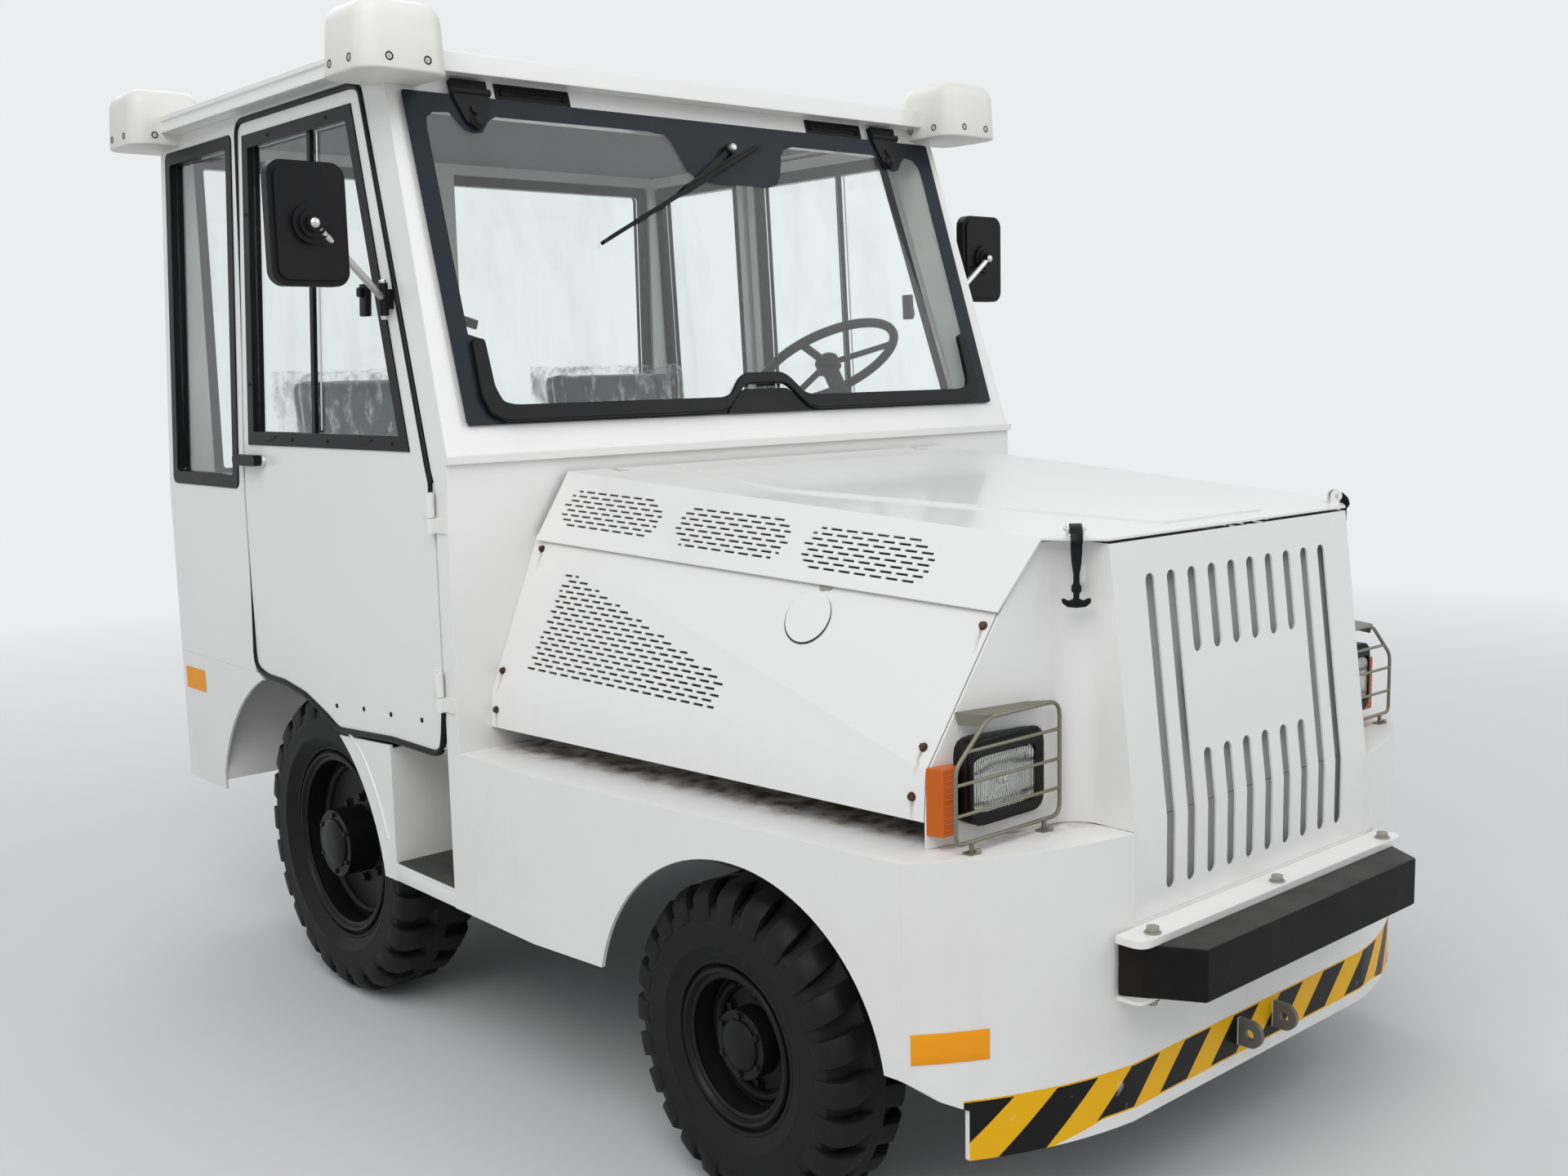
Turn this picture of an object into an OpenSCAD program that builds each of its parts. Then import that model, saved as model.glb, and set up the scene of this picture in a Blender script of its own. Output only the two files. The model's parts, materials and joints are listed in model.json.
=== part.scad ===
// Aircraft pushback tractor with a cab at the rear and a slotted nose in front.
// It faces -Y, stands on z = 0, and lengths are in millimetres.

/* [Overall] */
// Width over the body sides
body_w = 1700; // [1660:10:1740]
// Distance between the front and rear axles
wheelbase = 1440; // [1410:10:1470]
// Height of the deck round the hood
deck_h = 699; // [690:1:710]
// Place of the cab's front wall along the tractor
cab_y = -100; // [-110:1:-90]
// Length of the cab from its front wall to the rear plate
cab_len = 1465; // [1440:5:1490]
// Thickness of the deck and skirt plates
plate_t = 8; // [6:1:10]

/* [Nose] */
// Distance from the cab's front wall to the nose plate
nose_len = 1305; // [1295:5:1315]
// Width of the flat nose plate
nose_w = 732; // [720:2:744]
// Width of the body across the front corners
corner_w = 1494; // [1470:4:1510]
// How far the front corners lie behind the nose plate
corner_back = 157; // [145:2:170]
// Outward bulge of the rounded front corners
corner_bulge = 28; // [15:1:35]
// Distance from the cab wall to where the body starts to taper
taper_start = 250; // [200:10:300]
// Height of the nose plate's lower edge
nose_low = 205; // [200:1:215]
// Height of the fold in the nose plate above the deck
fold_up = 8; // [4:1:12]
// Height of the nose top above the deck
nose_up = 467; // [460:1:474]
// How far the nose plate leans back from the fold to its top
nose_lean = 55; // [45:1:60]
// Radius of the hollow bend between the nose plate's cheek and the lamp wall
cheek_r = 60; // [50:1:66]
// Slope of the lamp walls seen from above, as a share of the width
lamp_slope = 0.2; // [0.18:0.01:0.22]
// Thickness of the folded nose and hood sheets
sheet_t = 4; // [3:0.5:5]
// Number of slots across the nose
slot_n = 10; // [8:2:10]
// Distance between two slots
slot_pitch = 59.2; // [56:0.2:60]
// Width of a slot
slot_w = 25; // [20:1:30]

/* [Vents] */
// Length of a punched vent slot
vent_w = 26; // [24:1:28]
// Height of a punched vent slot
vent_h = 4.5; // [4:0.5:5]
// Distance between two slots of a row
vent_pitch = 35; // [34:1:38]
// Distance between two rows of slots
vent_row = 11; // [10:0.5:13]
// Height of the raised middle of the hood
press_up = 5; // [3:1:6]
// Radius of the fuel filler's cover
cover_r = 48; // [44:1:50]

/* [Skirts] */
// Height of the skirts between the wheels
skirt_low = 362; // [350:1:372]
// Radius of the front wheel arch
front_arch_r = 338; // [334:1:342]
// Height of the front wheel arch's centre
front_arch_h = 290; // [286:1:294]
// Radius of the rear wheel arch at its front
rear_arch_r = 440; // [436:1:442]
// Radius of the rear wheel arch at its rear
rear_arch_r2 = 468; // [460:1:474]
// How far the rear arch's centre lies behind the rear axle
rear_arch_back = 111; // [105:1:117]
// Height of the rear arch's centre
rear_arch_h = 287; // [284:1:290]

/* [Bumper] */
// How far the bumper pad stands out from the nose plate
bumper_out = 121; // [115:1:130]
// Half width of the bumper pad at its back
bumper_half = 393; // [380:1:400]
// Height of the bumper pad's lower face
bumper_low = 430; // [425:1:436]
// Height of the bumper pad
bumper_tall = 97; // [90:1:104]
// Chamfer at each end of the pad
bumper_chamfer = 60; // [50:1:66]

/* [Lamps] */
// Width of a headlamp's housing
lamp_w = 178; // [172:2:184]
// Height of a headlamp's housing
lamp_h = 142; // [136:2:146]
// Distance from the nose plate back to a headlamp's front
lamp_back = 143; // [140:1:146]
// Distance from the nose plate back to a lamp guard
guard_back = 115; // [110:1:120]
// Radius of a lamp guard's wire
guard_r = 3.5; // [3:0.5:4]

/* [Cab] */
// Height of the cab floor above the deck
floor_up = 43; // [39:1:47]
// Height of the ledge under the windscreen above the deck
ledge_up = 597; // [592:1:602]
// Height above the deck from which the cab sides lean in
lean_up = 491; // [486:1:496]
// Lean of the cab sides, as a share of the height
lean = 0.046; // [0.04:0.002:0.05]
// Rake of the windscreen, as a share of the height
rake = 0.317; // [0.31:0.001:0.324]
// Height of the cab walls' top above the deck
wall_up = 1386; // [1380:1:1392]
// Thickness of the roof plate
roof_t = 42; // [36:2:48]
// Thickness of the cab walls
wall_t = 45; // [42:1:48]
// Overhang of the roof beyond the widest part of the walls
roof_over = 6; // [2:1:10]
// Size of a roof corner cap, seen from above
cap_w = 200; // [190:5:210]
// Height of a roof corner cap
cap_h = 142; // [134:2:150]

/* [Doors] */
// Thickness of a door
door_t = 35; // [30:1:38]
// Gap round a door
door_gap = 6; // [5:1:8]
// Length of a door along the tractor
door_len = 920; // [910:2:930]
// Distance from the cab walls' top down to the door's top edge
door_drop = 20; // [18:1:24]
// Width of the black window frames
frame_w = 32; // [26:1:36]
// Thickness of a window pane
glass_t = 5; // [4:1:6]
// Distance of a door's hinge axis outside the body side
hinge_out = 12; // [11:1:14]
// Radius of a door hinge's barrel
hinge_r = 9; // [8:0.5:10]
// Width of the bar between a door's sliding panes
pane_bar_w = 16; // [12:1:20]

/* [Wheels] */
// Outer radius of a front tyre
front_tyre_r = 289.5; // [285:0.5:292]
// Width of a front tyre
front_tyre_w = 176; // [170:1:180]
// Outer radius of a front rim's flange
front_rim_r = 141.7; // [138:0.1:145]
// Outer radius of a rear tyre
rear_tyre_r = 360.3; // [356:0.1:364]
// Width of a rear tyre
rear_tyre_w = 200; // [194:1:204]
// Outer radius of a rear rim's flange
rear_rim_r = 218.6; // [214:0.1:222]
// Distance of a front wheel's middle from the centre line
front_track_half = 702; // [696:1:706]
// Distance of a rear wheel's middle from the centre line
rear_track_half = 721; // [716:1:724]
// Distance of a kingpin from the centre line
kingpin_x = 600; // [594:1:606]
// Number of lugs on each shoulder of a tyre
lug_n = 24; // [22:1:26]
// Depth of the grooves between the lugs
lug_deep = 16; // [12:1:18]
// Width of a groove, as a share of the distance between two lugs
groove_share = 0.3; // [0.26:0.01:0.34]
// Distance from the nose plate to the front axle
front_overhang = 543; // [538:1:548]

/* [Hitch] */
// Radius of the tow hitch's pin bore
hitch_bore_r = 16; // [14:1:18]
// Number of the tow hitch's plates
hitch_n = 4; // [3:1:4]
// Free height between two hitch plates
hitch_gap = 60; // [56:1:64]
// Thickness of a hitch plate
hitch_t = 15; // [14:1:18]
// Height of the lowest hitch plate
hitch_low = 330; // [320:2:340]
// How far the tow hitch stands out from the rear plate
hitch_reach = 161; // [156:1:170]

/* [Hidden] */
$fn = 48;
half = body_w / 2;
nose_y = cab_y - nose_len;
front_y = nose_y - bumper_out;
rear_y = cab_y + cab_len;
corner_y = nose_y + corner_back;
front_axle_y = nose_y + front_overhang;
rear_axle_y = front_axle_y + wheelbase;
fit = 0.3;
run_fit = 0.05;
// Gap between the closed hood and what lies under it
hood_gap = 5;
fold_h = deck_h + fold_up;
nose_top = deck_h + nose_up;
floor_h = deck_h + floor_up;
ledge_h = deck_h + ledge_up;
lean_h = deck_h + lean_up;
wall_top = deck_h + wall_up;
door_top = wall_top - door_drop;
// Height at which the door's front edge starts to lean with the windscreen
shoulder_h = ledge_h - 26;
// Lean of the door's front edge, as a share of the height
stile_lean = 0.346;

// Planes of the folded sheets on the +X side, each as three points; the other side mirrors them
nose_corner = [nose_w / 2, nose_y + nose_lean, nose_top];
lamp_foot = [678, corner_y + 24, deck_h];
lamp_plane = [lamp_foot, lamp_foot - [100, 100 * lamp_slope, 0], lamp_foot + [0, 0, 100]];
lamp_top = on_height(lamp_plane, 516, deck_h + 375);
lamp_fold = on_height(lamp_plane, 662, deck_h + 123);
panel_y = cab_y - 0.6;
panel_rear_top = [643, panel_y, deck_h + 429];
panel_rear_fold = [769, panel_y, deck_h + 115];
panel_rear_foot = [773, panel_y, deck_h + 44];
// The side panel has a crease from its rear top corner to the lamp wall
low_panel = [panel_rear_top, panel_rear_fold, lamp_fold];
high_panel = [panel_rear_top, lamp_fold, lamp_top];
strip_plane = [panel_rear_fold, panel_rear_foot, lamp_fold];
strip_foot = meet(lamp_plane, strip_plane, deck_h + 43);

// The hood's flange hangs over the top of the side panel
hood_rear_h = deck_h + 557;
hood_front_h = nose_top + hood_gap + sheet_t;
hood_rear = [569, cab_y - 14, hood_rear_h];
flange_over = 12;
flange_out = shifted(high_panel, hood_gap + sheet_t);
hood_low_rear = [plane_x(flange_out, hood_rear.y, panel_rear_top.z - flange_over + 4), hood_rear.y,
    panel_rear_top.z - flange_over + 4];
hood_low_front = [plane_x(flange_out, lamp_top.y, lamp_top.z - flange_over + 4), lamp_top.y,
    lamp_top.z - flange_over + 4];
flange_plane = [hood_rear, hood_low_rear, hood_low_front];
hood_corner_y = nose_y + 121;
hood_corner = [plane_x(flange_plane, hood_corner_y, hood_h(hood_corner_y)), hood_corner_y,
    hood_h(hood_corner_y)];
hood_pivot = [0, cab_y - 36, hood_rear_h - 20];

// Frames of the vents: x runs forward along the sheet's lower edge and y up the sheet
flange_frame = [hood_low_rear, hood_low_front, hood_rear];
vent_foot = [plane_x(low_panel, cab_y - 89, deck_h + 169), cab_y - 89, deck_h + 169];
vent_ahead = [plane_x(low_panel, cab_y - 631, deck_h + 157), cab_y - 631, deck_h + 157];
panel_frame = [vent_foot, vent_ahead, panel_rear_top];
// Outline of the side panel's punched area in its frame
vent_area = [[0, 0], [543, 0], [555, 58], [41, 215]];
// Middles of the stadiums of slots in the hood's flange, and their length and height
flange_vents = [[184, 81], [522, 74], [850, 68]];
flange_vent = [292, 90];

// Middle of the hollow bend, seen from above; the cheek and the lamp wall run off it
lamp_turn = atan(lamp_slope);
bend = [nose_w / 2 + cheek_r,
    lamp_wall_y(nose_w / 2) - cheek_r * tan(45 - lamp_turn / 2)];
// Place of a hood latch on the bend: direction from its middle, and the hood's face there
latch_turn = 133;
latch_place = [bend.x, bend.y, hood_h(bend.y + 20)];

// Outline of the door seen from the side: [y, z]
door_y = cab_y + 55;
door_rear_y = door_y + door_len;
door_outline = [
    [door_y, deck_h + 26], [door_y + 8, deck_h - 2], [door_y + 40, deck_h - 21], [door_y + 234, deck_h - 21],
    [door_y + 489, deck_h - 39], [door_y + 547, deck_h - 13], [door_y + 645, deck_h + 19],
    [door_y + 759, deck_h + 36], [door_y + 852, deck_h + 36], [door_y + 907, deck_h + 52],
    [door_rear_y, deck_h + 63], [door_rear_y, door_top - 20], [door_rear_y - 20, door_top],
    [stile_y(door_top), door_top], [door_y + 15, shoulder_h], [door_y, shoulder_h - 30]];
window_low = ledge_h + 10;
window_top = door_top - 30;
door_window = [
    [stile_y(window_low) + 66, window_low], [door_rear_y - 30, window_low],
    [door_rear_y - 30, window_top], [stile_y(window_top) + 52, window_top]];
pillar_y = door_y - door_gap;
step_end = cab_y + 300;
step_h = 402;
step_deep = 230;
quarter_y = door_rear_y + 10;
// Windows in the rear part of the cab: height of the middle, height, and the middle along the side
rear_window_h = 850;
rear_window_z = wall_top - 38 - rear_window_h / 2;
quarter_w = rear_y - quarter_y - 60;
quarter_mid = (quarter_y + rear_y) / 2 - 4;
rear_window_w = 1480;
rear_post_w = 60;
pin_r = 5;
hinge_y = door_y - 8;
hinge_x = half + hinge_out;
// Lower end of each door hinge
hinge_z = [floor_h + 38, floor_h + 405];

// Windscreen opening and pane
screen_low = ledge_h + 61;
screen_top = wall_top - 43;
screen_half = [782, 770];

bay_half = 420;
rail_x = 330;
rail_w = 80;
rail_z = 412;
rail_h = 120;
axle_z = front_tyre_r;
rear_axle_z = rear_tyre_r;
wheel_centre = [470, cab_y + 300, floor_h + 728];
wheel_tilt = -32;
front_rim_w = 144;
rear_rim_w = 150;
front_hub_out = 58;
rear_hub_out = 92;

// Helpers
function unit(v) = v / norm(v);
// Point at the distance d from p on the way to q
function toward(p, q, d) = p + d * unit(q - p);
function mirrored(list) = [for (i = [len(list) - 1 : -1 : 0]) [-list[i].x, list[i].y]];

// A plane is a list of three points
function normal(p) = cross(p[1] - p[0], p[2] - p[0]);
// x on a plane at y and z
function plane_x(p, y, z) =
    let (n = normal(p)) p[0].x - (n.y * (y - p[0].y) + n.z * (z - p[0].z)) / n.x;
// Point on a plane at x and z
function on_height(p, x, z) =
    let (n = normal(p)) [x, p[0].y - (n.x * (x - p[0].x) + n.z * (z - p[0].z)) / n.y, z];
// Point where two planes meet at the height z
function meet(p, q, z) =
    let (m = normal(p), n = normal(q), d = m * p[0] - m.z * z, e = n * q[0] - n.z * z,
        k = m.x * n.y - m.y * n.x)
    [(d * n.y - e * m.y) / k, (m.x * e - n.x * d) / k, z];
// Plane moved outward by t, away from x = 0
function shifted(p, t) =
    let (n = unit(normal(p))) [for (q = p) q + t * n * sign(n.x)];
// Height of the hood's upper face at y
function hood_h(y) = hood_front_h
    + (y - nose_corner.y) * (hood_rear_h - hood_front_h) / (hood_rear.y - nose_corner.y);
// Place of the door's front edge at the height z
function stile_y(z) = door_y + 15 + (z - shoulder_h) * stile_lean;

// Place of the lamp wall's face at x
function lamp_wall_y(x) = lamp_foot.y - (lamp_foot.x - x) * lamp_slope;

// Ends of a convex outline at the height y
function span(pts, y) =
    let (xs = [for (i = [0 : len(pts) - 1]) let (p = pts[i], q = pts[(i + 1) % len(pts)])
        if ((p.y - y) * (q.y - y) < 0) p.x + (q.x - p.x) * (y - p.y) / (q.y - p.y)])
    [min(xs), max(xs)];
// Slots of one row between two ends: [middle, length]; a slot at an end is cut short there
function row_slots(ends, shift) =
    [for (m = [floor(ends[0] / vent_pitch) - 1 : ceil(ends[1] / vent_pitch) + 1])
        let (a = max(ends[0], m * vent_pitch + shift), b = min(ends[1], m * vent_pitch + shift + vent_w))
        if (b - a > 2 * vent_h) [(a + b) / 2, b - a]];

// Outline moved inward by t; its points run anticlockwise
function inset(pts, t) = [for (i = [0 : len(pts) - 1])
    let (n = len(pts), b = pts[i], u = unit(b - pts[(i + n - 1) % n]), w = unit(pts[(i + 1) % n] - b),
        m = [-u.y, u.x], k = [-w.y, w.x])
    b + t * (m + k) / (1 + m * k)];

// Points along an arc from p to q that bulges to the right of the way from p to q
function bow(p, q, bulge, n) =
    let (c = norm(q - p) / 2, r = (c * c + bulge * bulge) / (2 * bulge), u = unit(q - p),
        m = [u.y, -u.x], mid = (p + q) / 2 - m * (r - bulge), a = asin(c / r))
    [for (i = [0 : n]) let (t = -a + 2 * a * i / n) mid + r * (cos(t) * m + sin(t) * u)];

// Half plan of the front body on the +X side, from the nose to the step well
front_side = concat(
    bow([nose_w / 2, nose_y], [corner_w / 2, corner_y], corner_bulge, 12),
    [[half, cab_y - taper_start], [half, door_y - door_gap]]);
front_plan = concat(mirrored(front_side), front_side);

module both() {
    children();
    mirror([1, 0, 0]) children();
}
// The +X side as it is, the -X side mirrored
module on_side(s) {
    if (s > 0) children();
    else mirror([1, 0, 0]) children();
}
// Drawing in y and z, extruded along x from x0 by len
module yz(x0, len) {
    translate([x0, 0, 0]) rotate([90, 0, 90]) linear_extrude(len) children();
}
// Drawing in x and z, extruded along y from y0 by len
module xz(y0, len) {
    translate([0, y0 + len, 0]) rotate([90, 0, 0]) linear_extrude(len) children();
}
module along_x(x0, len, r) {
    translate([x0, 0, 0]) rotate([0, 90, 0]) cylinder(h = len, r = r);
}
// Frame on a plane: its origin is the first point, its x runs to the second, its z is the normal
module on_plane(p) {
    a = p[0];
    u = unit(p[1] - a);
    n = unit(normal(p));
    v = cross(n, u);
    multmatrix([[u.x, v.x, n.x, a.x], [u.y, v.y, n.y, a.y], [u.z, v.z, n.z, a.z], [0, 0, 0, 1]])
        children();
}
// Points dropped on that plane, as [x, y] in it
function on(p, pts) =
    let (u = unit(p[1] - p[0]), v = cross(unit(normal(p)), u))
    [for (q = pts) [(q - p[0]) * u, (q - p[0]) * v]];
// Flat sheet on a plane, with its outline dropped on it
module flat_sheet(p, pts, t, up = 0) {
    on_plane(p) translate([0, 0, up]) linear_extrude(t) polygon(on(p, pts));
}
// Round rod from p to q
module rod(p, q, r) {
    d = q - p;
    translate(p) rotate([0, acos(d.z / norm(d)), atan2(d.y, d.x)]) cylinder(h = norm(d), r = r);
}
// Row of punched slots at the height y; every other row is moved by half a slot
module slot_row(ends, row, y) {
    for (s = row_slots(ends, row % 2 * vent_pitch / 2))
        translate([s[0], y]) square([s[1], vent_h], center = true);
}
module stadium(w, h) {
    square([w, h - w], center = true);
    for (z = [-1, 1]) translate([0, z * (h - w) / 2]) circle(d = w);
}
module rounded(w, h, r) {
    square([w - 2 * r, h], center = true);
    square([w, h - 2 * r], center = true);
    for (x = [-1, 1], z = [-1, 1])
        translate([x * (w / 2 - r), z * (h / 2 - r)]) circle(r);
}

// Cross section of the cab in x and z, with its sides moved in by t
function half_at(z) = half - max(0, z - lean_h) * lean;
module cab_section(t, z0, z1) {
    right = [[half_at(z0) - t, z0], [half - t, lean_h], [half_at(z1) - t, z1]];
    polygon(concat(right, mirrored(right)));
}
// Layer of the cab's sides between two depths
module cab_layer(t0, t1, y0, y1, z0, z1) {
    difference() {
        xz(y0, y1 - y0) cab_section(t0, z0, z1);
        xz(y0 - 1, y1 - y0 + 2) cab_section(t1, z0 - 1, z1 + 1);
    }
}
module positive_side() {
    intersection() {
        children();
        translate([0, -3000, -1]) cube([2000, 6000, 3000]);
    }
}

// Wheel arches, seen from the side
module front_arch() {
    translate([front_axle_y - 13, front_arch_h]) circle(front_arch_r, $fn = 96);
}
module rear_arch() {
    c = [rear_axle_y + rear_arch_back, rear_arch_h];
    translate(c) circle(rear_arch_r, $fn = 96);
    intersection() {
        translate(c) circle(rear_arch_r2, $fn = 96);
        translate([c.x, c.y - 200]) square([rear_arch_r, 200 + rear_arch_r]);
    }
}

// Chassis
module chassis_frame() {
    top = rail_z + rail_h;
    color("dimgray") {
        both() translate([rail_x - rail_w / 2, nose_y + 60, rail_z])
            cube([rail_w, rear_y - plate_t - nose_y - 60, rail_h]);
        // Cross members: [y, length along the tractor]
        for (m = [[nose_y + 60, 40], [cab_y + 40, 60], [rear_axle_y - 260, 60], [rear_y - 80, 60]])
            translate([-rail_x + rail_w / 2, m[0], rail_z + 10])
                cube([2 * rail_x - rail_w, m[1], rail_h - 20]);
        // Spring pads down to the front axle
        both() translate([rail_x - 30, front_axle_y - 60, axle_z + 35])
            cube([60, 120, rail_z - axle_z - 35]);
        // Outriggers to the walls of the engine bay
        both() for (y = [nose_y + 130, cab_y - 60]) translate([rail_x + rail_w / 2, y, top - 60])
            cube([bay_half - rail_x - rail_w / 2, 50, 50]);
        // Posts under the cab floor
        both() for (y = [cab_y + 80, rear_y - 140]) translate([rail_x - 30, y, top])
            cube([60, 60, floor_h - top]);
    }
}

module front_body() {
    color("white") {
        difference() {
            union() {
                difference() {
                    translate([0, 0, nose_low]) linear_extrude(deck_h - nose_low) polygon(front_plan);
                    translate([0, 0, nose_low - 1]) linear_extrude(deck_h - plate_t - nose_low + 1)
                        polygon(inset(front_plan, plate_t));
                }
                // Ears of the front tow clevis
                both() yz(51, 10) difference() {
                    union() {
                        translate([nose_y - 24, nose_low + 66]) circle(25);
                        translate([nose_y - 24, nose_low + 41]) square([25, 50]);
                    }
                    translate([nose_y - 24, nose_low + 66]) circle(9);
                }
                // Walls between the wheels and the engine bay
                both() translate([bay_half, nose_y + 60, rail_z + rail_h - 60])
                    cube([plate_t, cab_y - nose_y - 60, deck_h - rail_z - rail_h + 60 - plate_t]);
            }
            both() {
                yz(bay_half + plate_t + 1, half) front_arch();
                // Lower edge: skirts behind the corner, sloped edge under the corner
                translate([-1, corner_y + 60, nose_low - 2])
                    cube([half + 2, cab_y + 70 - corner_y, skirt_low - nose_low + 2]);
                xz(nose_y - 1, corner_back + 62)
                    polygon([[660, nose_low - 2], [660, 288], [700, 308], [747, 345], [half, 345],
                        [half, nose_low - 2]]);
            }
            // Engine bay, open under the hood and at the rear
            translate([-bay_half, nose_y + plate_t + 20, deck_h - plate_t - 1])
                cube([2 * bay_half, cab_y - nose_y - 60, plate_t + 2]);
            translate([-bay_half, door_y - door_gap - 20, nose_low])
                cube([2 * bay_half, 30, deck_h - nose_low - 60]);
            // Nose plate's place above the bumper
            translate([-nose_w / 2, nose_y - 1, bumper_low + bumper_tall + 20])
                cube([nose_w, plate_t + 25, deck_h]);
        }
    }
}

module nose_slots() {
    mid_gap_low = nose_top - 364;
    mid_gap_top = nose_top - 201;
    slot_low = deck_h - 115;
    slot_top = nose_top - 56;
    for (i = [0 : slot_n - 1]) {
        x = (i - (slot_n - 1) / 2) * slot_pitch;
        split = i > 1 && i < slot_n - 2;
        // Spans [low, top] of the slot in this column
        spans = split ? [[slot_low, mid_gap_low], [mid_gap_top, slot_top]] : [[slot_low, slot_top]];
        for (s = spans) translate([x, (s[0] + s[1]) / 2]) stadium(slot_w, s[1] - s[0]);
    }
}

// Arc round the middle of the hollow bend, from the cheek to the lamp wall
function bend_arc(r) = [for (i = [0 : 12])
    let (a = 180 - i * (90 - lamp_turn) / 12) bend + r * [cos(a), sin(a)]];
function reversed(list) = [for (i = [len(list) - 1 : -1 : 0]) list[i]];
// Plan of the bent sheet beside the nose plate: cheek, hollow bend and lamp wall
module cheek_plan() {
    end = [lamp_foot.x + 20, lamp_wall_y(lamp_foot.x + 20)];
    polygon(concat([[nose_w / 2, nose_y]], bend_arc(cheek_r), [end, end + [0, sheet_t / cos(lamp_turn)]],
        reversed(bend_arc(cheek_r + sheet_t)), [[nose_w / 2 - sheet_t, nose_y]]));
}

module nose_panel() {
    low = bumper_low + bumper_tall + 20.5;
    profile = [[nose_y, low], [nose_y + sheet_t, low], [nose_y + sheet_t, fold_h - 0.2],
        [nose_y + nose_lean + sheet_t, nose_top], [nose_y + nose_lean, nose_top], [nose_y, fold_h]];
    lift = 0.6;
    back = lamp_foot.y + 20;
    under_hood = hood_h(back) - hood_gap - sheet_t;
    color("white") {
        difference() {
            yz(fit - nose_w / 2, nose_w - 2 * fit) polygon(profile);
            xz(nose_y - 1, nose_lean + 20) nose_slots();
        }
        both() intersection() {
            translate([0, 0, deck_h + lift]) linear_extrude(hood_rear_h - deck_h) cheek_plan();
            yz(0, half) polygon([[nose_y, deck_h], [nose_y, fold_h], [nose_corner.y, nose_top],
                [back, under_hood], [back, deck_h]]);
            xz(nose_y, back - nose_y) polygon([[0, deck_h], [strip_foot.x, deck_h],
                [strip_foot.x, strip_foot.z], [lamp_fold.x, lamp_fold.z], [lamp_top.x, lamp_top.z],
                [hood_corner.x - 16, under_hood + 1], [0, under_hood + 1]]);
        }
        // Catches of the hood latches
        both() at_latch() translate([cheek_r - 26, 3, -72]) {
            cube([28, 3, 26]);
            cube([3, 14, 26]);
        }
    }
}

module side_panels() {
    gap = 6;
    fold = toward(lamp_fold, panel_rear_fold, gap);
    crease = toward(lamp_fold, panel_rear_top, gap);
    top = toward(lamp_top, panel_rear_top, gap);
    foot = toward(strip_foot, panel_rear_foot, gap);
    color("white") both() difference() {
        union() {
            flat_sheet(low_panel, [panel_rear_top, panel_rear_fold, fold, crease], sheet_t);
            flat_sheet(high_panel, [panel_rear_top, crease, top], sheet_t);
            flat_sheet(strip_plane, [panel_rear_fold, panel_rear_foot, foot, fold], sheet_t);
        }
        on_plane(panel_frame) translate([0, 0, -1]) linear_extrude(sheet_t + 2)
            for (row = [0 : floor((vent_area[3].y - vent_h) / vent_row)])
                slot_row(span(vent_area, vent_h + row * vent_row), row, vent_h + row * vent_row);
    }
    // Cover of the fuel filler, on one side only
    cover = [plane_x(high_panel, cab_y - 779, deck_h + 329), cab_y - 779, deck_h + 329];
    color("white") mirror([1, 0, 0]) on_plane(high_panel) translate(on(high_panel, [cover])[0])
        translate([0, 0, -3]) cylinder(h = 3 + sheet_t / 2, r = cover_r);
}

module engine_block() {
    w = 240;
    y0 = nose_y + 260;
    color("gray") {
        low = rail_z - 12;
        top = deck_h + 361;
        xz(y0, 880) polygon([[-w, low], [w, low], [w, top - 210], [160, top], [-160, top],
            [-w, top - 210]]);
        // Mounts on the rails
        both() for (y = [y0 + 80, y0 + 740])
            translate([w, y, rail_z + 30]) cube([rail_x - rail_w / 2 - w, 60, 40]);
    }
}

module radiator() {
    color("dimgray") translate([-340, nose_y + 95, rail_z + rail_h])
        cube([680, 70, nose_top - 64 - rail_z - rail_h]);
}

module bumper_bracket() {
    top = bumper_low + bumper_tall;
    color("white") difference() {
        union() {
            translate([-bumper_half - 16, nose_y - 52, bumper_low])
                cube([2 * bumper_half + 32, 52, top - bumper_low]);
            translate([-bumper_half - 26, nose_y - 55, top]) cube([2 * bumper_half + 52, 55, 20]);
        }
        translate([-bumper_half, nose_y - 42, bumper_low - 1])
            cube([2 * bumper_half, 32, top - bumper_low - 10]);
    }
}

module bumper_pad() {
    back = nose_y - 52;
    plan = [[-bumper_half, back], [bumper_half, back], [bumper_half, back - 8],
        [bumper_half - bumper_chamfer, front_y], [-bumper_half + bumper_chamfer, front_y],
        [-bumper_half, back - 8]];
    color("black") translate([0, 0, bumper_low]) linear_extrude(bumper_tall) polygon(plan);
}

// What lies in front of the lamp wall, seen from above
module before_lamp_wall() {
    linear_extrude(wall_top) polygon([[bend.x - cheek_r + 2, nose_y], [half, nose_y],
        [half, lamp_wall_y(half)], [bend.x - cheek_r + 2, lamp_wall_y(bend.x - cheek_r + 2)]]);
}
module headlamps() {
    middle = [526, deck_h + 103];
    front = nose_y + lamp_back;
    color("black") both() difference() {
        intersection() {
            xz(front, 80) translate(middle) rounded(lamp_w, lamp_h, 28);
            before_lamp_wall();
        }
        xz(front - 1, 9) translate(middle + [8, -4]) rounded(lamp_w - 32, lamp_h - 54, 10);
    }
}
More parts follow.
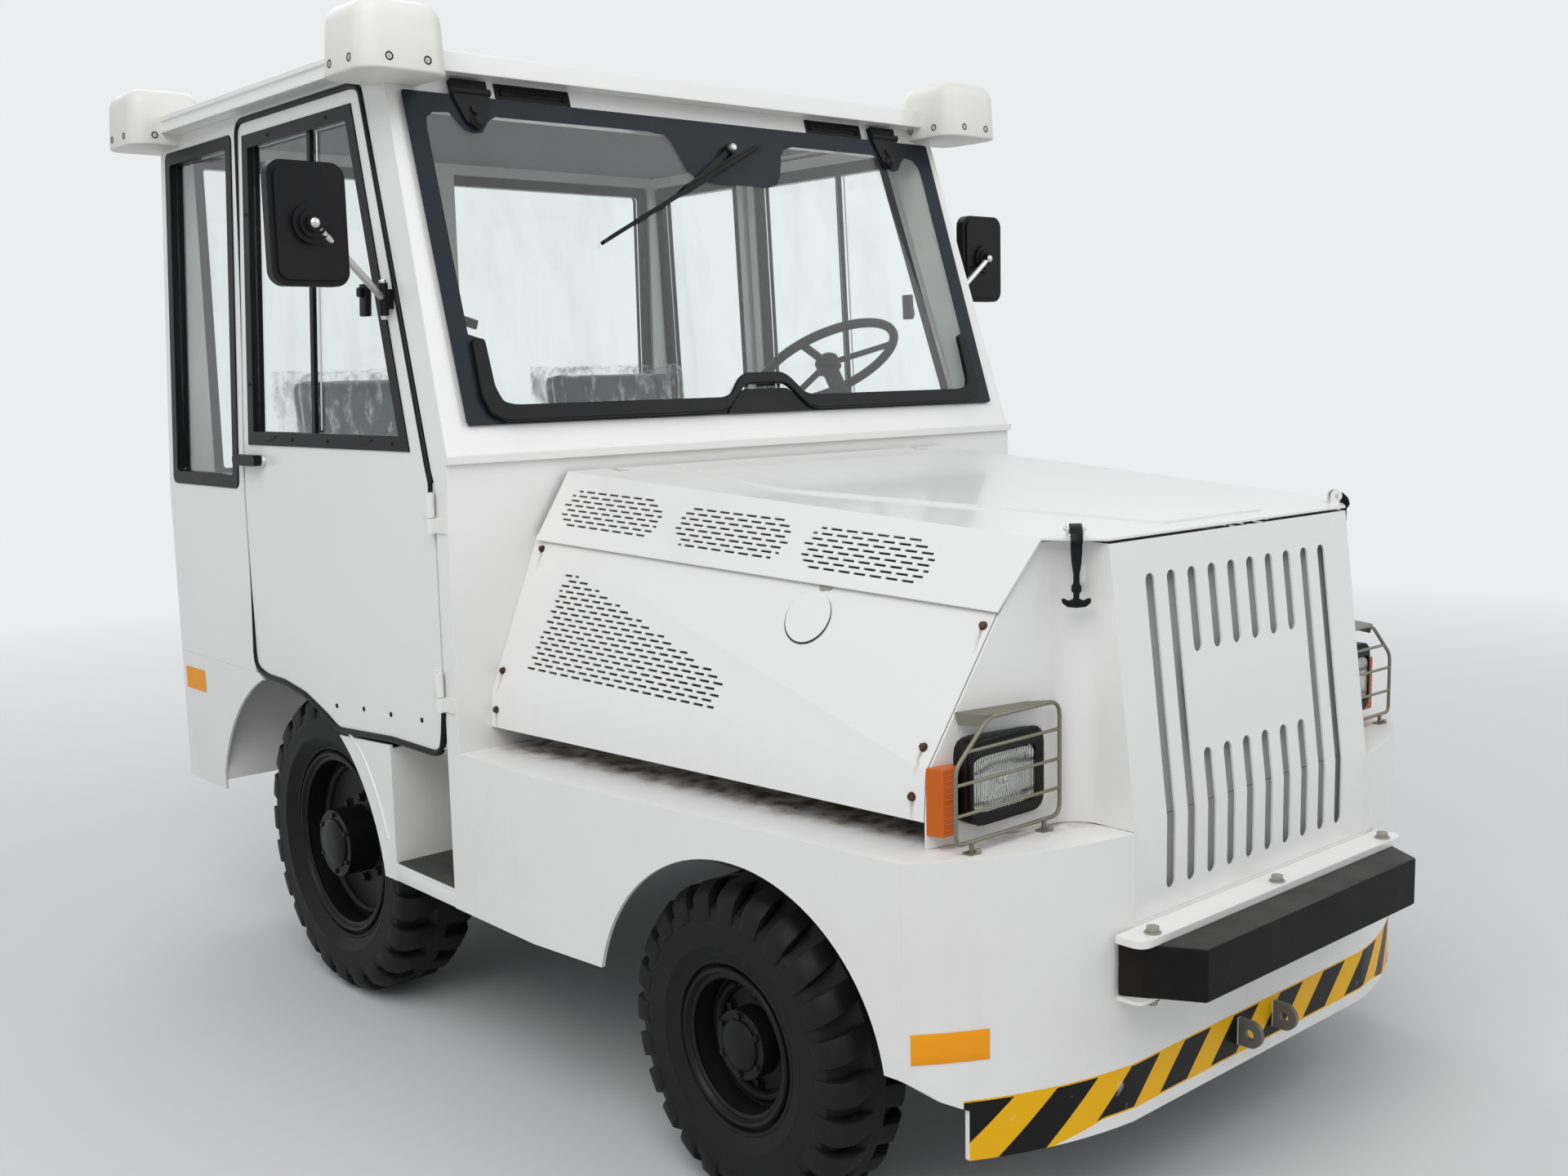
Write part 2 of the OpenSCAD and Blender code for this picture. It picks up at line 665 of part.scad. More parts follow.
// Wire guard in front of a headlamp, with a sheet over it
module lamp_guards() {
    y = nose_y + guard_back;
    low = deck_h + 19;
    top = deck_h + 211;
    outer = 668;
    inner = 416;
    slant = [outer - 77, top - 70];
    // Corners of the frame as [x, z]
    frame = [[outer, low], [inner, low], [inner, top], [slant.x, top], [outer, slant.y]];
    // Cross wires: [height, outer end]
    wires = [[top - 47, outer - 25], [top - 97, outer], [top - 146, outer]];
    color("silver") both() {
        for (i = [0 : 4]) let (p = frame[i], q = frame[(i + 1) % 5]) {
            rod([p.x, y, p.y], [q.x, y, q.y], guard_r);
            translate([p.x, y, p.y]) sphere(guard_r, $fn = 24);
        }
        for (w = wires) rod([inner, y, w[0]], [w[1], y, w[0]], guard_r - 0.5);
        for (x = [inner + 40, outer - 36]) translate([x, y, deck_h]) cylinder(h = low - deck_h, r = 4);
        translate([0, 0, top + guard_r - 2]) linear_extrude(2) polygon([
            [inner + 20, y], [slant.x, y], [612, lamp_wall_y(612) - fit], [470, lamp_wall_y(470) - fit]]);
    }
}
module indicators() {
    front = nose_y + 148;
    color("orange") both() translate([0, 0, deck_h + 23]) linear_extrude(110) polygon([
        [668, lamp_wall_y(668)], [660, front], [626, front], [618, lamp_wall_y(618)]]);
}
// Frame of a hood latch: x points from the middle of the bend to its wall, z = 0 is the hood's face
module at_latch() {
    translate(latch_place) rotate([0, 0, latch_turn]) children();
}
// Rubber pull straps of the hood latches
module latches() {
    pin = [38, 14];
    color("black") both() at_latch() {
        translate([0, 9, 0]) rotate([90, 0, 0]) linear_extrude(18) difference() {
            union() {
                translate(pin) circle(9);
                polygon([pin + [0, 9], [19, 12], [10, -6], [17, -100], [25, -100], [17, -6], [28, 8],
                    pin + [0, -9]]);
            }
            translate(pin) circle(4);
        }
        translate([17, -24, -112]) cube([8, 48, 13]);
    }
}

module rear_body() {
    well_x = 580;
    well_low = step_h + 20;
    well_len = 932;
    under_door = deck_h - 31;
    tail_low = skirt_low + 36;
    front_skin = [[step_end, under_door], [step_end, skirt_low], [door_y + 600, skirt_low - 6],
        [door_y + 549, deck_h - 21], [door_y + 489, deck_h - 47], [door_y + 245, under_door]];
    rear_skin = [[door_rear_y - 7, floor_h], [door_rear_y - 35, deck_h + 28],
        [door_rear_y - 200, deck_h + 1], [door_rear_y - 200, tail_low], [rear_y, tail_low],
        [rear_y, floor_h]];
    y0 = pillar_y;
    color("white") {
        both() {
            difference() {
                yz(half - plate_t, plate_t) {
                    polygon(front_skin);
                    polygon(rear_skin);
                }
                yz(half - plate_t - 1, plate_t + 2) rear_arch();
            }
            // Step well: floor, inner wall, and the wall in front of the wheel
            translate([half - step_deep, y0, step_h - plate_t])
                cube([step_deep, step_end - y0, plate_t]);
            translate([half - step_deep - plate_t, y0, step_h - plate_t])
                cube([plate_t, step_end - y0, floor_h - step_h + plate_t]);
            translate([well_x, step_end, step_h - plate_t])
                cube([half - plate_t - well_x, plate_t, under_door - step_h]);
            // Wheel well's inner and rear walls
            translate([well_x - plate_t, step_end, well_low])
                cube([plate_t, well_len + plate_t, floor_h - well_low]);
            translate([well_x, step_end + well_len, well_low])
                cube([half - plate_t - well_x, plate_t, floor_h - well_low]);
        }
        translate([-half + plate_t, rear_y - plate_t, tail_low])
            cube([2 * half - 2 * plate_t, plate_t, floor_h - tail_low]);
    }
}

module tow_hitch() {
    plate_half = 90;
    color("white") difference() {
        union() {
            translate([-130, rear_y, hitch_low - 20])
                cube([260, 20, hitch_n * (hitch_gap + hitch_t) - hitch_gap + 40]);
            for (i = [0 : hitch_n - 1]) translate([0, rear_y + 20, hitch_low + i * (hitch_gap + hitch_t)])
                linear_extrude(hitch_t) {
                    translate([-plate_half, 0]) square([2 * plate_half, hitch_reach - 80]);
                    translate([0, hitch_reach - 80]) intersection() {
                        circle(plate_half);
                        translate([-plate_half, -1]) square([2 * plate_half, 61]);
                    }
                }
        }
        translate([0, rear_y + hitch_reach - 60, hitch_low - 30]) cylinder(h = 400, r = hitch_bore_r);
    }
}

module tail_lamps() {
    color("firebrick") both() translate([half - 190, rear_y, 560]) rotate([-90, 0, 0])
        linear_extrude(22) rounded(120, 80, 10);
}

// Cab
screen_profile = [[cab_y, deck_h], [pillar_y, deck_h], [pillar_y, shoulder_h - 30],
    [stile_y(shoulder_h) - door_gap, shoulder_h], [stile_y(wall_top) - door_gap, wall_top],
    [screen_at(0, wall_top).y, wall_top], [cab_y, ledge_h]];
// Point of the windscreen plane at x and the height z
function screen_at(x, z) = [x, cab_y + (z - ledge_h) * rake, z];
// Windscreen outline: lower left, lower right, upper right, upper left
screen_outline = [screen_at(-screen_half[0], screen_low), screen_at(screen_half[0], screen_low),
    screen_at(screen_half[1], screen_top), screen_at(-screen_half[1], screen_top)];

module cab_front() {
    color("white") {
        difference() {
            intersection() {
                yz(-half, 2 * half) polygon(screen_profile);
                xz(cab_y - 1, 500) cab_section(0, deck_h, wall_top);
            }
            xz(cab_y - 10, 600) polygon([[-750, screen_low + 25], [750, screen_low + 25],
                [738, screen_top - 25], [-738, screen_top - 25]]);
        }
        translate([-half, cab_y - 10, ledge_h - 12]) cube([2 * half, 10, 16]);
        // Pillar halves of the door hinges, with their pins
        both() for (z = hinge_z) translate([hinge_x, hinge_y, z]) {
            cylinder(h = 30, r = hinge_r);
            translate([-hinge_out, -40, 0]) cube([4, 40, 30]);
            translate([-hinge_out + 3, -hinge_r, 0]) cube([hinge_out - 3, hinge_r, 30]);
            cylinder(h = 80, r = pin_r);
        }
        // Hood hinge lugs with their pins
        both() translate(hood_pivot + [450, 0, 0]) {
            along_x(0, 20, 11);
            translate([0, 0, -11]) cube([20, cab_y - hood_pivot.y, 22]);
            along_x(-60, 61, pin_r);
        }
    }
}

// Window in the side behind the door, smaller by t on each side
module quarter_window(t, r) {
    translate([quarter_mid, rear_window_z]) rounded(quarter_w - 2 * t, rear_window_h - 2 * t, r);
}
module rear_window(t, r) {
    translate([0, rear_window_z]) rounded(rear_window_w - 2 * t, rear_window_h - 2 * t, r);
}
// Post in the middle of the rear window
module rear_post() {
    translate([-rear_post_w / 2, rear_y - wall_t, rear_window_z - rear_window_h / 2 - 5])
        cube([rear_post_w, 10 - fit, rear_window_h + 10]);
    translate([-rear_post_w / 2, rear_y - wall_t, rear_window_z - rear_window_h / 2 + frame_w])
        cube([rear_post_w, wall_t - 20 - fit, rear_window_h - 2 * frame_w]);
}
module cab_rear() {
    color("white") rear_post();
    color("white") difference() {
        cab_layer(0, wall_t, quarter_y, rear_y, floor_h, wall_top);
        both() yz(half - 120, 200) quarter_window(0, 20);
    }
    color("white") difference() {
        xz(rear_y - wall_t, wall_t) cab_section(wall_t, floor_h, wall_top);
        xz(rear_y - wall_t - 1, wall_t + 2) rear_window(0, 20);
    }
}

module cab_floor() {
    color("dimgray") difference() {
        translate([-half + wall_t, pillar_y, floor_h])
            cube([2 * half - 2 * wall_t, rear_y - wall_t - pillar_y, plate_t]);
        both() translate([half - step_deep, cab_y, floor_h - 1])
            cube([step_deep, step_end - cab_y, plate_t + 2]);
    }
}

roof_y = screen_at(0, wall_top).y - 52;
module roof() {
    w = half + roof_over;
    color("white") {
        difference() {
            translate([-w, roof_y, wall_top]) cube([2 * w, rear_y + 13 - roof_y, roof_t]);
            both() translate([w - 5, roof_y + 60, wall_top + 10]) cube([10, rear_y - roof_y - 120, 18]);
        }
        // Rails above the doors
        both() translate([half_at(wall_top) - wall_t, door_y + 300, door_top + door_gap])
            cube([wall_t, quarter_y - door_y - 300, wall_top - door_top - door_gap]);
    }
}

module roof_caps() {
    w = half + roof_over;
    r = 26;
    // Middles of the caps on the +X side: [x, y]
    places = [[w - 25, roof_y - 5], [w - 25, rear_y - 35]];
    color("ivory") both() difference() {
        for (p = places) hull() for (x = [-1, 1], y = [-1, 1], z = [r, cap_h - r])
            translate([p.x + x * (cap_w / 2 - r), p.y + y * (cap_w / 2 - r), wall_top - 30 + z])
                sphere(r, $fn = 16);
        translate([-w - fit, roof_y - fit, wall_top - 200])
            cube([2 * (w + fit), rear_y + 13 - roof_y + 2 * fit, 200 + roof_t + fit]);
    }
}

seal_t = 3;
pane_in = 14;
module cab_glass() {
    color("lightblue") {
        flat_sheet(screen_outline, screen_outline, 6, seal_t + fit);
        positive_side() quarter_pane();
        mirror([1, 0, 0]) positive_side() quarter_pane();
        xz(rear_y - 20, glass_t) rear_window(frame_w - 2, 10);
    }
}
module quarter_pane() {
    intersection() {
        cab_layer(pane_in, pane_in + glass_t, quarter_y, rear_y, floor_h, wall_top);
        yz(0, 1000) quarter_window(frame_w + 0.5, 10);
    }
}

module window_frames() {
    outline = on(screen_outline, screen_outline);
    color("black") {
        // Rubber seal under the windscreen
        on_plane(screen_outline) linear_extrude(seal_t) difference() {
            polygon(outline);
            polygon(inset(outline, 26));
        }
        intersection() {
            both() difference() {
                yz(0, 1000) quarter_window(0.5, 20);
                yz(-1, 1002) quarter_window(frame_w, 10);
            }
            cab_layer(-seal_t, wall_t - 10, quarter_y, rear_y, floor_h, wall_top);
        }
        xz(rear_y - wall_t + 10, wall_t - 7) difference() {
            rear_window(0.5, 20);
            rear_window(frame_w - 2.5, 10);
        }
    }
}

// Frame on the windscreen's plane: its origin at x and z, its x running to the point at x1 and z1
module on_screen(x, z, x1, z1) {
    on_plane([screen_at(x, z), screen_at(x1, z1), screen_at(x, z + 100)]) children();
}
// Hinges at the windscreen's top, air outlets over it, and the wiper
module screen_fittings() {
    pane_out = seal_t + fit + 6 + fit;
    head = wall_top - screen_top;
    color("black") {
        both() on_screen(452, screen_top + 5, 552, screen_top + 5) linear_extrude(3) difference() {
            translate([-96, 0]) square([192, head - 9]);
            for (y = [8, 17, 26]) translate([-88, y - 2]) square([176, 4]);
        }
        both() on_screen(618, screen_top, 718, screen_top) {
            translate([-43, 3, 0]) cube([86, head - 12, pane_out + 6]);
            translate([-47, 8, pane_out + 5]) rotate([0, 90, 0]) cylinder(h = 94, r = 8);
            translate([0, 0, pane_out]) linear_extrude(7)
                polygon([[-46, 12], [-44, -8], [-24, -62], [-14, -70], [14, -70], [24, -62], [44, -8],
                    [46, 12]]);
            translate([0, -34, pane_out]) cylinder(h = 12, r = 9);
        }
        // Wiper: blade, arm and pivot
        blade_low = [-362, ledge_h + 441];
        blade_mid = [-103, ledge_h + 567];
        blade_high = [181, ledge_h + 703];
        pivot = [65, ledge_h + 677];
        on_screen(blade_low.x, blade_low.y, blade_high.x, blade_high.y) translate([0, -4, pane_out])
            cube([norm(blade_high - blade_low), 8, 14]);
        on_screen(blade_mid.x, blade_mid.y, pivot.x, pivot.y) translate([0, -6, pane_out + 12])
            cube([norm(pivot - blade_mid), 12, 6]);
        on_screen(pivot.x, pivot.y, pivot.x + 100, pivot.y) translate([0, 0, pane_out])
            cylinder(h = 22, r = 14);
    }
}

module dashboard() {
    back = pillar_y;
    top = ledge_h + 14;
    color("dimgray") {
        yz(-half + wall_t + 40, 2 * (half - wall_t - 40)) polygon([[back, floor_h + 358],
            [back + 150, floor_h + 358], [back + 150, top - 20], [back + 130, top],
            [back + 15 + (top - shoulder_h) * stile_lean, top], [back + 15, shoulder_h],
            [back, shoulder_h - 30]]);
        // Hood over the instruments
        yz(wheel_centre.x - 130, 260) polygon([[back + 45, top - 1], [back + 125, top - 1],
            [back + 120, top + 48], [back + 80, top + 60]]);
        translate(wheel_centre) rotate([wheel_tilt, 0, 0]) translate([0, 0, -260])
            cylinder(h = 240 - fit, r = 22);
    }
}
module steering_wheel() {
    color("black") translate(wheel_centre) rotate([wheel_tilt, 0, 0]) {
        rotate_extrude($fn = 48) translate([190, 0]) circle(12, $fn = 16);
        for (a = [90, 210, 330]) rotate([0, 0, a]) translate([25, -10, -5]) cube([158, 20, 8]);
        translate([0, 0, -20]) cylinder(h = 30, r = 32);
    }
}

module seats() {
    seat_w = 480;
    base = floor_h + plate_t;
    color("gray") both() yz(150, seat_w) {
        translate([620, base]) square([440, 252]);
        translate([600, base + 250]) square([480, 90]);
        translate([985, base + 320]) rotate(-8) square([90, 415]);
    }
}

// Axles and wheels
module front_axle() {
    boss = 90;
    color("dimgray") difference() {
        union() {
            translate([-kingpin_x, front_axle_y - 35, axle_z - 35]) cube([2 * kingpin_x, 70, 70]);
            both() translate([kingpin_x, front_axle_y, axle_z - boss / 2]) cylinder(h = boss, r = 32);
        }
        both() translate([kingpin_x, front_axle_y, axle_z - boss]) cylinder(h = 2 * boss, r = 15 + run_fit);
    }
}

module rear_axle() {
    color("dimgray") {
        translate([0, rear_axle_y, rear_axle_z]) {
            along_x(-560, 1120, 42);
            along_x(-110, 220, 120);
            both() along_x(560, rear_track_half + rear_hub_out - 18 - 560, 24);
        }
        both() translate([rail_x - 30, rear_axle_y - 60, rear_axle_z + 30])
            cube([60, 120, rail_z - rear_axle_z - 30]);
    }
}

module knuckle(s) {
    color("dimgray") on_side(s) translate([kingpin_x, front_axle_y, axle_z]) {
        translate([0, 0, -61]) cylinder(h = 122, r = 15);
        for (z = [-61, 45 + 1]) translate([0, 0, z]) {
            cylinder(h = 15, r = 32);
            translate([0, -32, 0]) cube([50, 64, 15]);
        }
        translate([38, -32, -61]) cube([20, 64, 122]);
        along_x(58, front_track_half + front_hub_out - 12 - kingpin_x - 58, 24);
    }
}

// Rim turned about x, with its outer side towards +X; wheel middle at the origin
module rim(r, w, hub_r, hub_out) {
    bead = r - 15;
    rotate([90, 0, 90]) rotate_extrude($fn = 72) polygon([
        [r, -w / 2], [r, -w / 2 + 7], [bead, -w / 2 + 12], [bead, w / 2 - 12], [r, w / 2 - 7],
        [r, w / 2], [bead - 6, w / 2 - 6], [bead - 8, 20], [hub_r + 30, 14], [hub_r, 18],
        [hub_r, hub_out], [0, hub_out], [0, hub_out - 8], [24 + run_fit, hub_out - 8],
        [24 + run_fit, -34], [hub_r, -34], [hub_r, 4],
        [hub_r + 30, 4], [bead - 18, 8], [bead - 8, -w / 2 + 6]]);
}
// Tyre turned about x, with grooves between the lugs of both shoulders, half a lug apart
module tyre(r, w, rim_r, rim_w) {
    bead = rim_r - 15 + fit;
    wide = (r + rim_r) / 2;
    right = [[bead, rim_w / 2 - 12 - fit], [rim_r + 4, rim_w / 2 - 7 - fit], [wide, w / 2],
        [r - 20, w / 2 - 8], [r, w / 2 - 36]];
    difference() {
        rotate([90, 0, 90]) rotate_extrude($fn = lug_n)
            polygon(concat([for (p = right) [p.x, -p.y]], reversed(right)));
        for (side = [0, 1], i = [0 : lug_n - 1])
            mirror([side, 0, 0]) rotate([(i + side / 2) * 360 / lug_n, 0, 0]) rotate([90, 0, 0])
                linear_extrude(groove_share * 2 * PI * r / lug_n, center = true)
                    polygon([[w / 12, r + 1], [w / 12, r - lug_deep],
                        [w / 2 + 1, r - 2.4 * lug_deep], [w / 2 + 1, r + 1]]);
    }
}
module front_place(s) {
    on_side(s) translate([front_track_half, front_axle_y, axle_z]) children();
}
module rear_place(s) {
    on_side(s) translate([rear_track_half, rear_axle_y, rear_axle_z]) children();
}
module front_rim(s) { color("black") front_place(s) rim(front_rim_r, front_rim_w, 62, front_hub_out); }
module rear_rim(s) { color("black") rear_place(s) rim(rear_rim_r, rear_rim_w, 80, rear_hub_out); }
module front_tyre(s) {
    color("black") front_place(s) tyre(front_tyre_r, front_tyre_w, front_rim_r, front_rim_w);
}
module rear_tyre(s) {
    color("black") rear_place(s) tyre(rear_tyre_r, rear_tyre_w, rear_rim_r, rear_rim_w);
}

// Hood and doors
module hood() {
    edge = nose_corner.y;
    lug_x = 450;
    press_side = [[148, edge + 47], [405, cab_y - 495], [346, cab_y - 65]];
    color("white") {
        difference() {
            yz(-600, 1200) polygon([[hood_rear.y, hood_rear_h], [edge, hood_front_h],
                [edge, hood_front_h - sheet_t], [hood_rear.y, hood_rear_h - sheet_t]]);
            both() translate([0, 0, deck_h]) linear_extrude(wall_up) polygon([
                [hood_rear.x, cab_y], [hood_corner.x, hood_corner.y], [nose_w / 2 + fit, edge],
                [nose_w / 2 + fit, nose_y - 10], [700, nose_y], [700, cab_y]]);
            // Notches over the cab's hinge lugs
            both() translate([lug_x - 6, hood_pivot.y - 30, hood_pivot.z]) cube([32, 60, 60]);
        }
        // Ears of the hood latches with their pins
        both() at_latch() {
            for (y = [-14, 11]) translate([0, y + 3, 0]) rotate([90, 0, 0]) linear_extrude(3) {
                translate([38, 14]) circle(11);
                polygon([[32, -2], [49, -2], [49, 14], [27, 14], [32, 4]]);
            }
            translate([38, 12, 14]) rotate([90, 0, 0]) cylinder(h = 24, r = 3.7);
        }
        both() on_plane(flange_frame) linear_extrude(sheet_t) difference() {
            polygon(on(flange_frame, [hood_rear, hood_low_rear, hood_low_front, hood_corner]));
            for (v = flange_vents, row = [-4 : 3]) let (z = (row + 0.5) * vent_row, r = flange_vent.y / 2,
                reach = flange_vent.x / 2 - r + sqrt(r * r - pow(abs(z) + vent_h / 2, 2)))
                slot_row([v.x - reach, v.x + reach], row, v.y + z);
        }
        // Raised middle
        intersection() {
            yz(-half, body_w) polygon([[hood_rear.y, hood_rear_h - 1], [edge, hood_front_h - 1],
                [edge, hood_front_h + press_up], [hood_rear.y, hood_rear_h + press_up]]);
            linear_extrude(wall_top) polygon(concat(press_side, mirrored(press_side)));
        }
        // Hinge barrels round the cab's pins
        both() translate(hood_pivot + [lug_x - 55, 0, 0]) difference() {
            union() {
                along_x(0, 48, 11);
                translate([0, -11, 0]) cube([48, 22, hood_rear_h - sheet_t / 2 - 2 - hood_pivot.z]);
            }
            along_x(-1, 50, pin_r + run_fit);
        }
    }
}

handle_z = ledge_h - 26;
module door_slab(t0, t1) {
    positive_side() cab_layer(t0, t1, door_y - 50, door_rear_y + 50, 600, 2100);
}
module door(s) {
    color("white") on_side(s) {
        difference() {
            intersection() {
                door_slab(0, door_t);
                yz(0, 1000) polygon(door_outline);
            }
            yz(0, 1000) polygon(door_window);
        }
        for (z = hinge_z) translate([hinge_x, hinge_y, z + 31]) difference() {
            union() {
                cylinder(h = 50, r = hinge_r);
                translate([-hinge_out, 7, 0]) cube([4, 38, 50]);
                translate([-hinge_out + 3, 0, 0]) cube([hinge_out - 3, hinge_r, 50]);
            }
            translate([0, 0, -1]) cylinder(h = 52, r = pin_r + run_fit);
        }
    }
}
module door_frame(s) {
    color("black") on_side(s) {
        intersection() {
            door_slab(-3, door_t - 5);
            yz(0, 1000) difference() {
                polygon(inset(door_window, fit));
                polygon(inset(door_window, frame_w));
            }
        }
        // Bar between the sliding panes
        intersection() {
            door_slab(2, 12 - fit);
            yz(0, 1000) translate([door_rear_y - 385, window_low + frame_w - 2])
                square([pane_bar_w, window_top - window_low - 2 * frame_w + 4]);
        }
        // Handle and its foot
        yz(half_at(handle_z) + 8, 20) translate([door_rear_y - 55, handle_z]) rotate(90) stadium(26, 130);
        intersection() {
            door_slab(-12, 0);
            translate([0, door_rear_y - 110, handle_z - 12]) cube([1000, 30, 24]);
        }
    }
}
module door_glass(s) {
    color("lightblue") on_side(s) {
        intersection() {
            door_slab(12, 12 + glass_t);
            yz(0, 1000) polygon(inset(door_window, frame_w + fit));
        }
    }
}
// Mirror on a tube that is clamped to the door's front stile; y is the head's place
module mirror_arm(s, y) {
    head = [half + 190, y, ledge_h + 459];
    clamp_z = ledge_h + 322;
    foot = [half_at(clamp_z) + 17, stile_y(clamp_z) + 30, clamp_z];
    color("black") on_side(s) {
        translate(head) rotate([90, 0, 0]) {
            linear_extrude(24, center = true) rounded(160, 237, 30);
            linear_extrude(34, center = true) rounded(136, 213, 22);
            // Rings of the boss on its back: [height, radius]
            for (ring = [[26, 38], [33, 27], [42, 16]]) cylinder(h = ring[0], r = ring[1]);
        }
        translate(foot - [0, 0, 33]) cylinder(h = 66, r = 10);
        intersection() {
            door_slab(-17, 0);
            translate(foot - [100, 12, 20]) cube([100, 24, 40]);
        }
        rod(foot, head - [0, 34, 0], 7);
    }
}

chassis_frame();
front_body();
nose_panel();
side_panels();
engine_block();
radiator();
bumper_bracket();
bumper_pad();
headlamps();
lamp_guards();
indicators();
latches();
rear_body();
tow_hitch();
tail_lamps();
cab_front();
cab_rear();
cab_floor();
roof();
roof_caps();
cab_glass();
window_frames();
screen_fittings();
dashboard();
seats();
front_axle();
rear_axle();
hood();
steering_wheel();
door(-1);  // door_right
door(1);  // door_left
door_frame(-1);  // door_frame_right
door_frame(1);  // door_frame_left
door_glass(-1);  // door_glass_right
door_glass(1);  // door_glass_left
mirror_arm(-1, 50);  // mirror_right
mirror_arm(1, 170);  // mirror_left
knuckle(-1);  // knuckle_right
knuckle(1);  // knuckle_left
front_rim(-1);  // front_rim_right
front_rim(1);  // front_rim_left
front_tyre(-1);  // front_tyre_right
front_tyre(1);  // front_tyre_left
rear_rim(-1);  // rear_rim_right
rear_rim(1);  // rear_rim_left
rear_tyre(-1);  // rear_tyre_right
rear_tyre(1);  // rear_tyre_left
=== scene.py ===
"""Looks of a small airport tow tractor, built round its fixed frame. Lengths are in metres."""
import json
from contextlib import contextmanager
from functools import cache
from math import cos, exp, pi, radians, sin, tau

import bpy
from mathutils import Matrix, Vector
from mathutils.bvhtree import BVHTree
from mathutils.noise import noise as smooth_noise

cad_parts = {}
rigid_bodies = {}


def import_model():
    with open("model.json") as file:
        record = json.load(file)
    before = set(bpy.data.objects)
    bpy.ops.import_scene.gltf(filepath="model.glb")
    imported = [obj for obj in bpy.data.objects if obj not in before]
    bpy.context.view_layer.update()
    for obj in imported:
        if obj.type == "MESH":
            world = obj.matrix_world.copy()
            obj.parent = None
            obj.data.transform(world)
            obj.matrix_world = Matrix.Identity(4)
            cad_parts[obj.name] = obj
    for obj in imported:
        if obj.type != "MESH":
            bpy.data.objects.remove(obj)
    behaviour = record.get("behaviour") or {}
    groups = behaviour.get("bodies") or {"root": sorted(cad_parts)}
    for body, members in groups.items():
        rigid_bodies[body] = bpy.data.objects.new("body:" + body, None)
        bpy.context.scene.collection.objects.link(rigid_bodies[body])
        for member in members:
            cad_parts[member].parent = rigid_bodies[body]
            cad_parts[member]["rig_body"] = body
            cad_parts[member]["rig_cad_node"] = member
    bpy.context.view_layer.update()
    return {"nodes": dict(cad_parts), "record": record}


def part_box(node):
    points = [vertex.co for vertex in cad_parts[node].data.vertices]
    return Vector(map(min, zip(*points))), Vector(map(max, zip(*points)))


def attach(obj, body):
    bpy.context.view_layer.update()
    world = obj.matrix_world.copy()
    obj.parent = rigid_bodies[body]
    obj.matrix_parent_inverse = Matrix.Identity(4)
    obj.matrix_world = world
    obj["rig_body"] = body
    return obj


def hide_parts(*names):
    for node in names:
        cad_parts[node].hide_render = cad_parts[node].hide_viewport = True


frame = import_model()
NODES = frame["nodes"]
SLOT_OF = {row["node"]: row["material_slot"] for row in frame["record"]["subparts"]}
X, Y, Z = (1, 0, 0), (0, 1, 0), (0, 0, 1)
MIRRORED = Matrix.Scale(-1, 4, X)
# A drawing stands up: its y becomes height, its thickness runs along y
UPRIGHT = Matrix(((1, 0, 0, 0), (0, 0, 1, 0), (0, 1, 0, 0), (0, 0, 0, 1)))
# Points closer than this are one; degrees from which an edge is sharp, and up to which faces are one
WELD, SHARP, FLAT = 0.000005, 35, 1
# The same for the frame's own meshes
CAD_WELD, CAD_SHARP, CAD_FLAT = 0.00002, 30, 0.4

# Sizes and places that several pieces share, read from the frame
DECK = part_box("front_body")[1].z
NOSE_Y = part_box("nose_panel")[0].y
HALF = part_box("front_body")[1].x
CAB_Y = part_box("side_panels")[1].y
REAR_HITCH_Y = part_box("tow_hitch")[1].y - 0.060
SIDES = {"right": -1, "left": 1}
# Windscreen plane: a point on its foot and its outward normal
RAKE = 0.317
SCREEN_FOOT = Vector((0, CAB_Y, DECK + 0.597))
SCREEN_OUT = Vector((0, -1, RAKE)).normalized()


# Camera at the photograph's viewing angle
def make_camera():
    place = Vector((-2.4413, -2.9157, 1.4528))
    yaw, pitch, roll = radians(41.351), radians(7.732), radians(-1.302)
    ahead = Vector((sin(yaw) * cos(pitch), cos(yaw) * cos(pitch), -sin(pitch)))
    right = Vector((cos(yaw), -sin(yaw), 0))
    up = right.cross(ahead)
    cam_x = right * cos(roll) + up * sin(roll)
    cam_y = up * cos(roll) - right * sin(roll)
    data = bpy.data.cameras.new("camera")
    data.sensor_width = 36
    data.lens = 36.63
    data.clip_start = 0.05
    camera = bpy.data.objects.new("camera", data)
    bpy.context.scene.collection.objects.link(camera)
    camera.matrix_world = shift(place) @ Matrix((cam_x, cam_y, -ahead)).transposed().to_4x4()
    bpy.context.scene.camera = camera


# Node helpers
def link_or_set(tree, socket, value):
    """A shader value is linked to the socket; a number or colour is set on it."""
    if isinstance(value, Value):
        value = value.socket
    if isinstance(value, bpy.types.NodeSocket):
        tree.links.new(value, socket)
    elif isinstance(value, tuple) and socket.type == "RGBA":
        socket.default_value = (*value, 1)[:4]
    else:
        socket.default_value = value


def add_node(tree, kind, settings=None, **inputs):
    """A node with its settings and its sockets' values, an underscore standing for a space."""
    node = tree.nodes.new("ShaderNode" + kind)
    for key, value in (settings or {}).items():
        setattr(node, key, value)
    for key, value in inputs.items():
        link_or_set(tree, node.inputs[key.replace("_", " ")], value)
    return node


